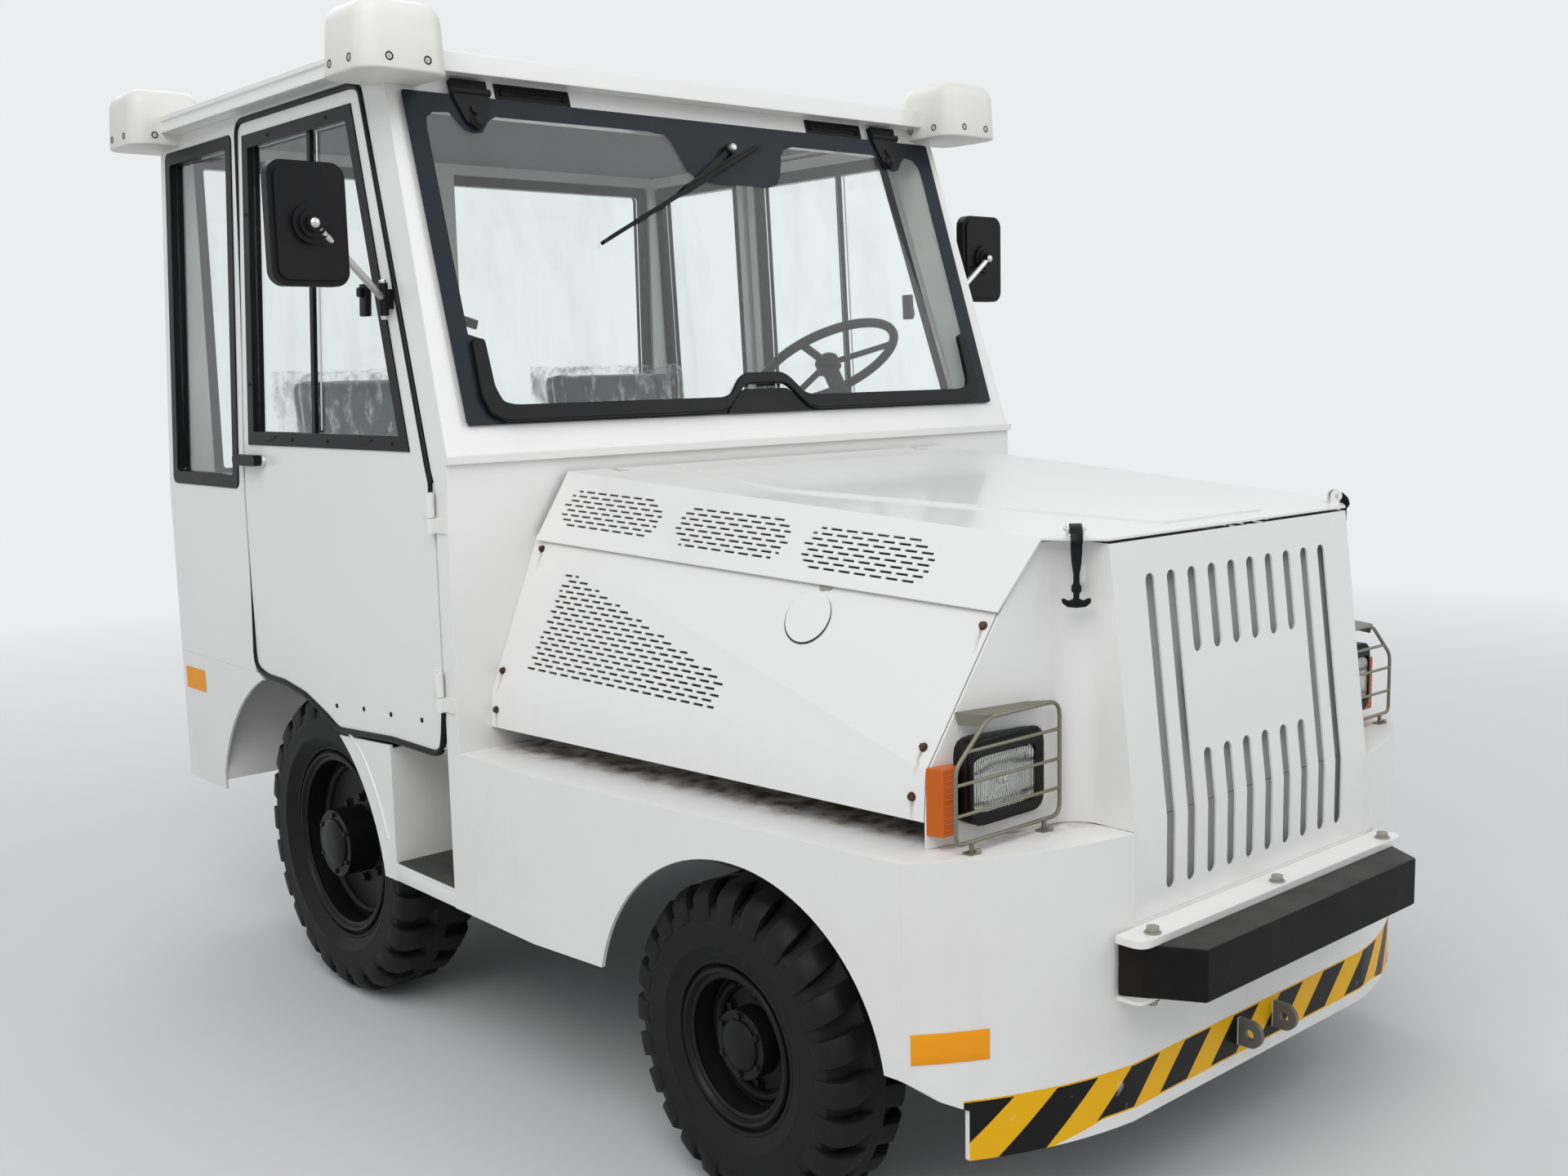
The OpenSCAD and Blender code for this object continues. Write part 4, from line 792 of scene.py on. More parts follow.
def soften(node, width, material=None):
    """A merged copy of a node whose sharp edges are rounded; it stands for the node."""
    source = NODES[node]
    piece = twin_of(source, node + "_skin")
    piece.parent = None
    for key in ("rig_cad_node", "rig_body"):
        del piece[key]
    with editing(piece):
        bpy.ops.mesh.remove_doubles(threshold=CAD_WELD)
        bpy.ops.mesh.dissolve_limited(angle_limit=radians(CAD_FLAT))
    bevel_edges(piece, width, 2, CAD_SHARP)
    smooth_by(piece, CAD_SHARP + 5)
    apply_modifier(piece, "WEIGHTED_NORMAL", keep_sharp=True)
    return carry(piece, SLOT_OF[node], material, source["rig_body"], [node])


# Wheels
# Half the width over the beads, by axle
BEAD_HALF = {"front": 0.072, "rear": 0.075}
LUGS = 24
LUG_DEEP = 0.0175


def tyre_piece(axle, name, side):
    """A block-tread tyre: a carcass turned about its axle, with curved lugs on both shoulders."""
    node = f"{axle}_tyre_{name}"
    low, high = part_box(node)
    r, w = (high.z - low.z) / 2, high.x - low.x
    rim_low, rim_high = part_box(f"{axle}_rim_{name}")
    rim_r, rim_half = (rim_high.z - rim_low.z) / 2, BEAD_HALF[axle]
    bead, wide = rim_r - 0.0147, (r + rim_r) / 2
    # Corners over the rim and below the outer wall: [step from the rim, step from the side]
    near_rim = [(0.004, -0.0073), (0.007, 0.002), (0.012, 0.003), (0.014, 0.0015)]
    wall = [(0.036, -0.0055), (0.039, -0.003), (0.043, -0.003), (0.045, -0.0035)]
    half_side = [(bead, rim_half - 0.0123), *((rim_r + up, rim_half + out) for up, out in near_rim),
                 *((rim_r + up, w / 2 + out) for up, out in wall),
                 (wide, w / 2 - 0.001), (wide + 0.012, w / 2 - 0.0015), (r - 2.4 * LUG_DEEP, w / 2 - 0.006),
                 (r - 1.7 * LUG_DEEP, w / 2 - 0.03), (r - LUG_DEEP - 0.002, w / 12 + 0.012),
                 (r - 0.001, w / 12 - 0.002)]
    profile = [(a, -h) for a, h in half_side] + half_side[::-1]
    carcass = lathe(node + "_carcass", profile, steps=96, smooth=40)
    # One lug: along u it runs from the middle over the shoulder and down the side
    run = [(r - 0.0005, w / 12 - 0.004), (r, w * 0.2), (r, w / 2 - 0.036), (r - 0.008, w / 2 - 0.022),
           (r - 0.020, w / 2 - 0.008), (r - 0.034, w / 2 - 0.0025), (wide + 0.010, w / 2)]
    width = tau / LUGS * 0.7

    def on_run(x, v):
        u = x + 0.5
        at = u * (len(run) - 1)
        k = min(int(at), len(run) - 2)
        a, h = (run[k][i] + (run[k + 1][i] - run[k][i]) * (at - k) for i in (0, 1))
        turn = v * width * (1 - 0.25 * (1 - u)) + 0.32 * width * (1 - u) ** 2
        return a * cos(turn), a * sin(turn), h
    lug = grid("lug", 9, 2, 1, on_run)
    with editing(lug):
        bpy.ops.mesh.normals_make_consistent(inside=False)
    if lug.data.polygons[0].normal.x < 0:
        lug.data.flip_normals()
    apply_modifier(lug, "SOLIDIFY", thickness=0.022, offset=-1.0)
    settle(lug, bevel=0.0028, smooth=40)
    places = [turned((i + flip / 2) * tau / LUGS) @ (Matrix.Scale(-1, 4, Z) if flip else Matrix())
              for i in range(LUGS) for flip in (0, 1)]
    tyre = join([carcass, copies(lug, places, "lugs")], node + "_tread")
    moved(tyre, place_at((low + high) / 2, Z, (side, 0, 0)))
    carry(tyre, "tyre", body=NODES[node]["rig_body"], replaces=[node])


def rim_details(axle, name, side, hub_r, hub_out, nuts, nut_size):
    """Lock ring, wheel nuts, hub cap and valve of one wheel."""
    node = f"{axle}_rim_{name}"
    low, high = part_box(node)
    tyre_low, tyre_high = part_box(f"{axle}_tyre_{name}")
    r, edge = (high.z - low.z) / 2, BEAD_HALF[axle]
    dish = r - 0.036
    turned_parts = [
        lathe("lock_ring", [(r - 0.004, edge - 0.003), (r - 0.001, edge + 0.0015), (r - 0.005, edge + 0.005),
                            (r - 0.010, edge + 0.003), (r - 0.013, edge - 0.004), (r - 0.018, edge - 0.002),
                            (r - 0.023, edge - 0.006), (r - 0.021, edge - 0.012)], steps=72, bevel=0.0008),
        lathe("dish_ring", [(dish + 0.006, 0.024), (dish, 0.030), (dish - 0.008, 0.030), (dish - 0.014, 0.022),
                            (dish - 0.014, 0.016), (dish + 0.006, 0.016)], steps=72, bevel=0.001),
        lathe("hub_cap", [(share * hub_r, hub_out + up) for share, up in
                          ((0, -0.002), (0.74, -0.002), (0.74, 0.004), (0.60, 0.010), (0.30, 0.012), (0, 0.013))],
              bevel=0.0012)]
    ring_of_nuts = copies(hex_bolt(nut_size), [turn @ shift(hub_r + 0.019, 0, 0.0165)
                                               for turn in round_about(nuts)], "nuts")
    hub_ring = copies(hex_bolt(0.006), [turn @ shift(hub_r * 0.86, 0, hub_out - 0.0005)
                                        for turn in round_about(6)], "bolts")
    valve = tube("valve", bend([(dish + 0.012, 0.02, 0.020), (dish + 0.004, 0.02, 0.040),
                                (dish - 0.006, 0.02, 0.050)], 0.008), 0.0035)
    piece = join([*turned_parts, ring_of_nuts, hub_ring, valve], node + "_fittings")
    moved(piece, place_at((tyre_low + tyre_high) / 2, Z, (side, 0, 0)))
    carry(piece, "rim_paint", body=NODES[node]["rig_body"])


# Windscreen
SCREEN = place_at(SCREEN_FOOT + SCREEN_OUT * 0.0093, X, SCREEN_OUT)
CLEAR_LEFT = [(-0.737, 0.704), (-0.733, 0.725), (-0.716, 0.738), (-0.678, 0.741), (-0.668, 0.728),
              (-0.649, 0.704), (-0.628, 0.698), (-0.605, 0.703), (-0.585, 0.729), (-0.566, 0.740),
              (-0.160, 0.743), (-0.115, 0.738), (-0.098, 0.724), (-0.084, 0.688), (-0.070, 0.655),
              (-0.046, 0.634), (0.013, 0.626), (0.176, 0.627), (0.206, 0.636), (0.222, 0.660),
              (0.240, 0.712), (0.256, 0.731), (0.285, 0.740)]
CLEAR_RIGHT = [(0.566, 0.740), (0.585, 0.729), (0.605, 0.703), (0.628, 0.698), (0.649, 0.704),
               (0.668, 0.728), (0.684, 0.740), (0.712, 0.736), (0.728, 0.716), (0.734, 0.690)]
CLEAR_FOOT = [(0.738, 0.255), (0.715, 0.245), (0.710, 0.095), (-0.710, 0.095), (-0.715, 0.245), (-0.744, 0.255)]


def make_windscreen():
    """The dark border printed on the glass, and the rubber channel along its foot with the catch's hump."""
    outline = [(-0.780, 0.7822), (-0.790, 0.065), (0.790, 0.065), (0.780, 0.7822)]
    carry(plate("screen_border", fillet(outline, 0.008), 0.0007, SCREEN,
                holes=[[*CLEAR_LEFT, *CLEAR_RIGHT, *CLEAR_FOOT]]), "glass", "glass_border")
    outer = [(-0.743, 0.243), (-0.748, 0.120), (-0.736, 0.082), (-0.700, 0.066), (-0.150, 0.066),
             (-0.112, 0.074), (-0.052, 0.127), (-0.040, 0.131), (0.066, 0.131), (0.080, 0.126), (0.130, 0.074),
             (0.165, 0.066), (0.700, 0.066), (0.736, 0.082), (0.748, 0.120), (0.743, 0.243)]
    inner = [(0.713, 0.243), (0.712, 0.140), (0.700, 0.108), (0.672, 0.101), (0.150, 0.101), (0.128, 0.108),
             (0.092, 0.146), (0.070, 0.158), (-0.042, 0.158), (-0.064, 0.146), (-0.098, 0.108),
             (-0.124, 0.101), (-0.672, 0.101), (-0.700, 0.108), (-0.712, 0.140), (-0.713, 0.243)]
    carry(plate("screen_rubber", fillet(outer + inner, 0.010), 0.013, SCREEN, bevel=0.004, segments=3),
          "black_rubber")
    cover = [(-0.118, 0.064), (0.138, 0.064), (0.082, 0.120), (-0.058, 0.120)]
    carry(plate("screen_catch_cover", fillet(cover, 0.012), 0.006, SCREEN, bevel=0.0015), "black_plastic")


def make_screen_details():
    """Screws of the hinges and outlets, black plates behind the outlets as their painted shade, the wiper's yoke and
    its bright pivot nut.
    """
    spots = ((0.650, 0.790, 0.0085), (0.586, 0.790, 0.0085), (0.372, 0.800, -0.004), (0.532, 0.800, -0.004))
    carry(copies(pan_screw(0.0055), [SCREEN @ place for place in shifts_on_both(spots)], "screen_screws"),
          "black_plastic")
    dome = lathe("hinge_knob", [(0, 0), (0.016, 0), (0.016, 0.004), (0.012, 0.007), (0.009, 0.013), (0, 0.014)],
                 steps=24)
    carry(copies(dome, [SCREEN @ place for place in shifts_on_both([(0.618, 0.722, 0.006)])], "hinge_knobs"),
          "black_plastic")
    # Black plates behind the outlets: painted shade inside them
    back = plate("vent_shade_plate", rect(0.358, 0.790, 0.546, 0.820), 0.0013, SCREEN @ shift(0, 0, -0.0092))
    carry(both_sides(back, "vent_shade_plates"), "black_plastic")
    # The wiper's blade runs between two points of the glass
    low, high = Vector((-0.362, 0.463, 0.0)), Vector((0.181, 0.737, 0.0))
    wiper = SCREEN @ place_at(low, (high - low).normalized(), Z)
    end = (high - low).length - 0.03
    bars = [(a, b, 0.03, 0.012, 0.021, 0.02, 0.0046) for a, b in ((0.02, 0.18), (0.22, 0.40), (0.44, end))]
    yokes = [tube("yoke", bend([(a, 0, foot), (a + slope, 0, top), (b - slope, 0, top), (b, 0, foot)], round_by),
                  thick, place=wiper) for a, b, slope, foot, top, round_by, thick in bars]
    yokes.append(tube("spine", bend([(0.10, 0, 0.021), (0.17, 0, 0.029), (0.42, 0, 0.029), (0.52, 0, 0.021)],
                                    0.03), 0.0052, place=wiper))
    carry(join(yokes, "wiper_yokes"), "black_plastic")
    nut = lathe("wiper_nut", [(0, 0), (0.0105, 0), (0.0105, 0.005), (0.008, 0.010), (0.004, 0.012), (0, 0.0125)],
                steps=24, place=SCREEN @ shift(0.065, 0.710, 0.0222))
    carry(nut, "galvanised", "bright_steel")


# Front
BUMPER_BOLT_X = (-0.367, 0.001, 0.370)
BUMPER_BOLT_Y = -1.441
NOSE_BACK = -1.4052


def make_bumper():
    """The rubber block is clamped between two plates, with bolts above and below."""
    bolts = copies(hex_bolt(0.0115), [shift(x, BUMPER_BOLT_Y, 0.541) for x in BUMPER_BOLT_X], "bumper_bolts")
    carry(bolts, "galvanised", "zinc_bolt")
    under = copies(hex_bolt(0.010), [place_at((x, BUMPER_BOLT_Y, 0.430), X, (0, 0, -1)) for x in BUMPER_BOLT_X],
                   "bumper_nuts")
    carry(under, "galvanised", "zinc_bolt")
    outline = [(-0.412, -1.4056), (-0.338, -1.526), (0.338, -1.526), (0.412, -1.4056)]
    carry(plate("bumper_block", outline, 0.0905, shift(0, 0, 0.4365), bevel=0.004), "black_rubber", "pad_rubber",
          replaces=["bumper_pad"])
    plates = [plate("plate", fillet([(-half, front), (half, front), (half, NOSE_BACK), (-half, NOSE_BACK)],
                                    [corner, corner, 0.0, 0.0]), thick, shift(0, 0, z), bevel=bevel)
              for half, front, corner, thick, z, bevel in ((0.419, -1.460, 0.028, 0.014, 0.527, 0.0015),
                                                           (0.414, -1.452, 0.020, 0.0064, 0.430, 0.001))]
    carry(join(plates, "bumper_plates"), "white_paint", replaces=["bumper_bracket"])


def make_side_details(name, side):
    """Screws of a side panel and the orange tapes at the front corner and behind the rear wheel."""
    places = seats_on("side_panels", [(side * 1.0, y, z) for y, z in PANEL_SCREWS], (-side, 0, 0))
    carry(copies(hex_bolt(0.0062), places, f"panel_screws_{name}"), "galvanised", "weathered_bolt")

    def on_corner(x, y):
        place, out = on_face("front_body", (side * (0.684 + x * 0.108), -2, 0.397 + y * 0.050), Y)
        return place + out * 0.0008
    tape = grid(f"corner_tape_{name}", 14, 3, 1, on_corner)
    apply_modifier(tape, "SOLIDIFY", thickness=0.0008, offset=0.0)
    carry(settle(tape, bevel=0.0003), "amber", "orange_tape")
    rear = plate(f"rear_tape_{name}", box_path(0.128, 0.058, radius=0.004), 0.0012,
                 place_at((side * 0.8501, 1.277, 0.674), (0, side, 0), (side, 0, 0)), bevel=0.0004)
    carry(rear, "amber", "orange_tape")


def make_front():
    """A black ring round the filler's cover as painted shade of its gap, the cover's catch, the deck's corners and
    the mesh behind the slots.
    """
    cover, out = on_face("side_panels", (-1.0, -0.879, 1.028), X)
    # A thin black ring just inside the cover's edge: painted shade of the gap round the cover
    gap = lathe("filler_gap_shade", rect(0.0474, 0, 0.0496, 0.0008), place_at(cover - out * 0.0022, Y, out), steps=64)
    tab = plate("filler_catch", fillet([(-0.007, -0.014), (0.007, -0.014), (0.006, 0.012), (-0.006, 0.012)], 0.004),
                0.003, seats_on("side_panels", [(-1.0, -0.893, 1.078)], X)[0], bevel=0.0008)
    carry(tab, "galvanised", "zinc_bolt")
    carry(gap, "black_rubber")
    corner = [(0.360, -1.385), (0.428, -1.385), (0.428, -1.262), (0.400, -1.270), (0.372, -1.300)]
    corner = plate("corner", corner, 0.0079, shift(0, 0, DECK - 0.008), bevel=0.0006)
    carry(both_sides(corner, "deck_corners"), "white_paint", "front_paint")
    lean = (Vector((0, -1.350, 1.166)) - Vector((0, -1.405, 0.707))).normalized()
    upper = plate("screen", box_path(0.650, 0.430, 0, 0.215), 0.0015,
                  place_at((0, -1.386, 0.7075), X, Vector(X).cross(lean)), bevel=0.0004)
    lower = plate("screen", box_path(0.650, 0.150, 0, -0.075), 0.0015,
                  place_at((0, -1.3865, 0.7065), X, (0, -1, 0)), bevel=0.0004)
    carry(join([upper, lower], "intake_screen"), "engine", "screen_mesh")


# Lamps and guards
# The middle of the left headlamp, half its size, and how far forward its dish and glass lie
LAMP = Vector((0.534, 0, 0.798))
LAMP_HALF_W, LAMP_HALF_H = 0.0745, 0.0455
DISH_Y, LENS_Y = -1.2665, -1.2725
# Where the guards stand, and x of their feet
GUARD_Y, GUARD_FEET = -1.290, (0.456, 0.632)


def lamp_face(shape, side, columns, deep):
    """A sheet with rounded corners across the lamp; deep says how far back each point lies."""
    def spot(u, v):
        reach = max(abs(u), abs(v))
        k = reach / (abs(u) ** 7 + abs(v) ** 7) ** (1 / 7) if reach else 1.0
        x, z = u * k * LAMP_HALF_W, v * k * LAMP_HALF_H
        return side * (LAMP.x + x), deep(x, z, reach), LAMP.z + z
    face = grid(shape, columns, 24, 2, spot)
    if side > 0:
        face.data.flip_normals()
    return face


def dish_deep(_x, _z, reach):
    return DISH_Y - 0.0055 + max(0.0, 0.006 * (1 - reach ** 2))


def lens_deep(x, z, reach):
    flutes = 0.0009 * abs(sin(x / 0.0062 * pi)) + 0.0006 * abs(sin(z / 0.02 * pi))
    return LENS_Y - 0.0035 * (1 - reach ** 4) - flutes * (1 - reach ** 8)


def make_lamps():
    """Housing, dish, bulb and fluted glass of each headlamp, and ribs of the indicators."""
    outline = box_path(0.178, 0.142, radius=0.030)
    bezel = plate("bezel", outline, 0.010, shift(0, 0, 0.034), bevel=0.003, segments=3,
                  holes=[box_path(0.150, 0.092, 0.008, -0.004, radius=0.012)])
    shell = plate("shell", outline, 0.034, bevel=0.002)
    housing = moved(join([shell, bezel], "shell"), place_at((0.526, -1.232, 0.802), X, (0, -1, 0)))
    carry(both_sides(housing, "headlamp_housings"), "lamp", replaces=["headlamps"])
    dishes, glasses, bulbs = [], [], []
    for side in SIDES.values():
        dishes.append(lamp_face("dish", side, 48, dish_deep))
        glasses.append(lamp_face("lens", side, 192, lens_deep))
        apply_modifier(glasses[-1], "SOLIDIFY", thickness=0.0015, offset=0.0)
        settle(glasses[-1], smooth=60)
        profile = [(0, 0), (0.009, 0), (0.009, 0.004), (0.006, 0.006), (0.005, 0.010), (0, 0.011)]
        bulbs.append(lathe("bulb", profile, place_at((side * LAMP.x, DISH_Y, LAMP.z), X, (0, -1, 0)), steps=20))
    for face in dishes:
        apply_modifier(face, "SOLIDIFY", thickness=0.0006, offset=0.0)
    carry(settle(join(dishes, "lamp_dishes"), smooth=60), "lamp", "lamp_dish")
    carry(join(glasses, "lamp_glasses"), "glass", "lamp_glass")
    carry(join(bulbs, "lamp_bulbs"), "galvanised", "bright_steel")
    rib = block("rib", (0.6285, -1.2590, -0.0017), (0.6575, -1.2560, 0.0017), bevel=0.0012)
    places = [on_side(side, shift(0, 0, 0.733 + i * 0.0098)) for side in (-1, 1) for i in range(10)]
    carry(copies(rib, places, "indicator_ribs"), "amber")


def make_guards():
    """Guards of bent wire, each with a folded sheet over it, on bolted feet."""
    foot_z, top, inner, outer = DECK + 0.019, DECK + 0.211, 0.416, 0.668
    corners = [(outer, foot_z), (inner, foot_z), (inner, top), (outer - 0.077, top), (outer, top - 0.070)]
    loop = [(p.x, GUARD_Y, p.y) for p in fillet(corners, [0.014, 0.022, 0.026, 0.016, 0.016])]
    wires = [tube("wire", loop, 0.0035, closed=True, sides=2)]
    for end, drop in ((outer - 0.025, 0.047), (outer, 0.097), (outer, 0.146)):
        wires.append(tube("wire", [(inner, GUARD_Y, top - drop), (end, GUARD_Y, top - drop)], 0.003, sides=2))
    for x in GUARD_FEET:
        wires.append(tube("foot", [(x, GUARD_Y, DECK), (x, GUARD_Y, foot_z)], 0.004, sides=2))
    wires.append(plate("sheet", [(0.436, GUARD_Y), (0.591, GUARD_Y), (0.612, -1.2377), (0.470, -1.2660)], 0.002,
                       shift(0, 0, top + 0.0015)))
    wires.append(plate("lip", [(0, 0), (0.0562, 0), (0.050, -0.020), (0.006, -0.020)], 0.0015,
                       place_at((0.591, GUARD_Y, top + 0.0035), (0.021, 0.0523, 0), (0.0523, -0.021, 0))))
    carry(both_sides(join(wires, "wires"), "guard_cages"), "galvanised", "guard_wire", replaces=["lamp_guards"])
    feet = plate("foot", box_path(0.026, 0.020, radius=0.004), 0.0025, bevel=0.0008)
    places = shifts_on_both([(x, GUARD_Y, DECK) for x in GUARD_FEET])
    carry(copies(feet, places, "guard_feet"), "galvanised", "guard_wire")
    beside = shift(0.007, -0.007, 0.0025)
    carry(copies(hex_bolt(0.005), [place @ beside for place in places], "guard_bolts"), "galvanised", "zinc_bolt")


def make_latches():
    """Rubber pulls of the hood: a strap looped over its pin, with a waist, a bump and an anchor-shaped grip."""
    low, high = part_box("latches")
    turn = radians(133)
    inward, across = Vector((cos(turn), sin(turn), 0)), Vector((-sin(turn), cos(turn), 0))
    corner = Vector((high.x - 0.006, low.y + 0.0039, high.z - 0.023))
    half = [(0.009, 0.004), (0.009, -0.018), (0.0075, -0.040), (0.0046, -0.058), (0.0046, -0.072), (0.0078, -0.077),
            (0.0078, -0.085), (0.0044, -0.089), (0.0044, -0.097), (0.012, -0.1005), (0.0195, -0.0965),
            (0.0236, -0.0975), (0.0225, -0.1045), (0.0145, -0.1105), (0.0, -0.1118)]
    outline = fillet(half + [(-u, v) for u, v in half[-2::-1]], 0.0012, steps=2)
    strap = plate("strap", outline, 0.009, place_at(corner + inward * 0.0165, across, inward), bevel=0.0022,
                  segments=3)
    loop = [(0.0165, -0.012), (0.0105, -0.004), (0.014, 0.009), (0.024, 0.019), (0.034, 0.023), (0.042, 0.0226),
            (0.0468, 0.016), (0.0455, 0.008), (0.038, 0.005), (0.031, 0.009), (0.027, 0.006), (0.0255, -0.002),
            (0.0255, -0.012)]
    hook = plate("hook", fillet(loop, 0.003), 0.018, place_at(corner + across * 0.009, inward, -across), bevel=0.0015)
    pin = lathe("pin", [(0, -0.018), (0.0032, -0.018), (0.0032, 0.018), (0, 0.018)],
                place_at(corner + inward * 0.038 + Vector((0, 0, 0.014)), inward, across), steps=16)
    carry(both_sides(join([strap, hook], "pull"), "latch_pulls"), "black_rubber", body="hood", replaces=["latches"])
    carry(both_sides(pin, "latch_pins"), "galvanised", "bright_steel", body="hood")


def make_steps():
    """Rubber mats of the side steps, the sills under them and the beads beside the rear arches."""
    mat = plate("mat", rect(0.623, -0.048, 0.847, 0.197, 0.004), 0.003, shift(0, 0, 0.4021), bevel=0.001)
    carry(both_sides(mat, "step_mats"), "floor_mat")
    sill = block("sill", (0.8425, -0.053, 0.3632), (0.8496, 0.203, 0.3950), bevel=0.0008)
    arch = ((0.396, 0.668), (0.357, 0.646), (0.319, 0.612), (0.284, 0.565), (0.255, 0.513), (0.228, 0.451))
    bead = tube("bead", bend([(0.8495, y, z) for y, z in arch], 0.02), 0.0042)
    carry(both_sides(join([sill, bead], "sill"), "step_sills"), "white_paint")


# Roof
# Length and width of a corner cover
CAP_SIZE = 0.200


def make_roof_caps():
    """Moulded corner covers of the roof: soft boxes with a skirt and screws in its recesses, which are black as
    painted shade.
    """
    low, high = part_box("roof_caps")
    half, tall = CAP_SIZE / 2, high.z - low.z
    top, foot = tall / 2, -tall / 2
    deselect()
    bpy.ops.mesh.primitive_cube_add(size=1, scale=(CAP_SIZE, CAP_SIZE, tall))
    cap = fresh("cap")
    for vertex in cap.data.vertices:
        # The cover narrows to its top
        if vertex.co.z > 0:
            vertex.co.x *= 0.94
            vertex.co.y *= 0.94
    round_edges(cap, lambda a, b: abs(a.z - b.z) > top, 0.046, 7)
    round_edges(cap, lambda a, b: min(a.z, b.z) > top - 0.0001, 0.038, 6)
    round_edges(cap, lambda a, b: max(a.z, b.z) < 0.0001 + foot, 0.005, 2)
    settle(cap, smooth=60)
    # The recesses round the screws are black: painted shade inside them
    recess = lathe("recess", [(0, -0.002), (0.0045, -0.0015), (0.0062, 0.0008), (0.0078, 0.0012), (0.0088, 0.0002),
                              (0.0088, -0.004), (0, -0.004)], steps=20)
    spots = [turn @ place_at((CAP_SIZE * 0.495, across, 0.024 + foot), Z, (1, 0, 0.04))
             for turn in round_about(4) for across in (-0.042, 0.042)]
    rims = copies(recess, spots, "rims")
    heads = copies(pan_screw(0.0042), [spot @ shift(0, 0, -0.0016) for spot in spots], "heads")
    places = shifts_on_both([(high.x - half, y, (low.z + high.z) / 2) for y in (low.y + half, high.y - half)])
    carry(copies(cap, places, "roof_cap_shells"), "cream_plastic", replaces=["roof_caps"])
    carry(copies(rims, places, "roof_cap_recess_shades"), "black_plastic")
    carry(copies(heads, places, "roof_cap_screws"), "galvanised", "zinc_bolt")


# Doors
# Height of the screws along a window's foot, the line of a door's seal, and a window frame's screws
SILL_Z = 1.3215
DOOR_SEAL = [(-0.036, 1.225), (-0.036, 1.246), (-0.0245, 1.270), (0.2465, 2.061), (0.285, 2.071), (0.860, 2.071),
             (0.878, 2.052), (0.878, 0.780), (0.865, 0.754), (0.810, 0.741), (0.718, 0.740), (0.605, 0.724),
             (0.500, 0.690), (0.440, 0.665), (0.185, 0.683), (-0.004, 0.683), (-0.030, 0.695), (-0.040, 0.730),
             (-0.046, 0.775)]
FRAME_SCREWS = [(0.12, SILL_Z), (0.42, SILL_Z), (0.60, SILL_Z), (0.829, 1.45), (0.829, 1.85), (0.40, 2.020),
                (0.70, 2.020)]


def lean_x(z):
    """How far out the door opening lies, which leans in above the waist."""
    return HALF - max(0, z - (DECK + 0.491)) * 0.046 - 0.001


def make_door_seals(name, side):
    """Thick black tube round a door opening, and black discs along the foot of the door as painted shade of its
    holes.
    """
    path = bend([(lean_x(z), y, z) for y, z in DOOR_SEAL], 0.02)
    carry(tube(f"door_seal_{name}", [(side * x, y, z) for x, y, z in path], 0.0075), "black_rubber")
    # Black discs where the door's foot has holes: painted shade of the holes
    plug = lathe("plug", [(0, 0), (0.0055, 0), (0.0055, 0.0012), (0.004, 0.0022), (0, 0.0012)], steps=16)
    spots = ((0.444, 0.720), (0.311, 0.732), (0.185, 0.738), (0.049, 0.746))
    places = seats_on(f"door_{name}", [(side * 1.0, y, z) for y, z in spots], (-side, 0, 0))
    carry(copies(plug, places, f"door_plugs_{name}"), "black_plastic", body=f"door_{name}")


def make_door_fittings(name, side):
    """Screws of a window frame, black plates on it as painted shade of its drain slots, edges of its sliding panes,
    catch and lock.
    """
    body, glass, inward = f"door_{name}", f"door_glass_{name}", (-side, 0, 0)
    out = Vector((side * 0.002, 0, 0))
    edges = [tube("edge", [on_face(glass, (side * 1.2, y + 0.001, z), inward)[0] + out for z in (1.345, 2.000)],
                  0.0022) for y in (0.470, 0.498)]
    carry(join(edges, f"pane_edges_{name}"), "galvanised", "bright_steel", body)
    slots, screws = (seats_on(f"door_frame_{name}", [(side * 1.2, y, z) for y, z in spots], inward)
                     for spots in ([(0.24, SILL_Z), (0.72, SILL_Z)], FRAME_SCREWS))
    # Each drain slot is a thin black plate on the frame: painted shade of the opening
    slot = plate("slot", box_path(0.060, 0.006, radius=0.003), 0.0012)
    carry(copies(slot, [place @ turned(pi / 2) for place in slots], f"drain_slots_{name}"), "black_plastic",
          body=body)
    carry(copies(pan_screw(0.0042), screws, f"frame_screws_{name}"), "black_plastic", body=body)
    spot, normal = on_face(glass, (side * 1.2, 0.244, 1.622), inward)
    place = place_at(spot, Y, normal)
    catch = block("catch", (-0.016, -0.034, 0), (0.016, 0.034, 0.014), place, bevel=0.003)
    pull = block("pull", (-0.010, -0.026, 0.010), (0.010, -0.006, 0.024), place, bevel=0.003)
    carry(join([catch, pull], f"window_catch_{name}"), "black_plastic", body=body)
    spot, normal = on_face(body, (side * 1.2, 0.765, 1.268), inward)
    profile = [(0, 0), (0.015, 0), (0.015, 0.003), (0.011, 0.006), (0.011, 0.009), (0.0025, 0.009),
               (0.0025, 0.006), (0, 0.006)]
    lock = lathe(f"door_lock_{name}", profile, place_at(spot, Y, normal), steps=28, bevel=0.0006)
    carry(lock, "galvanised", "bright_steel", body)


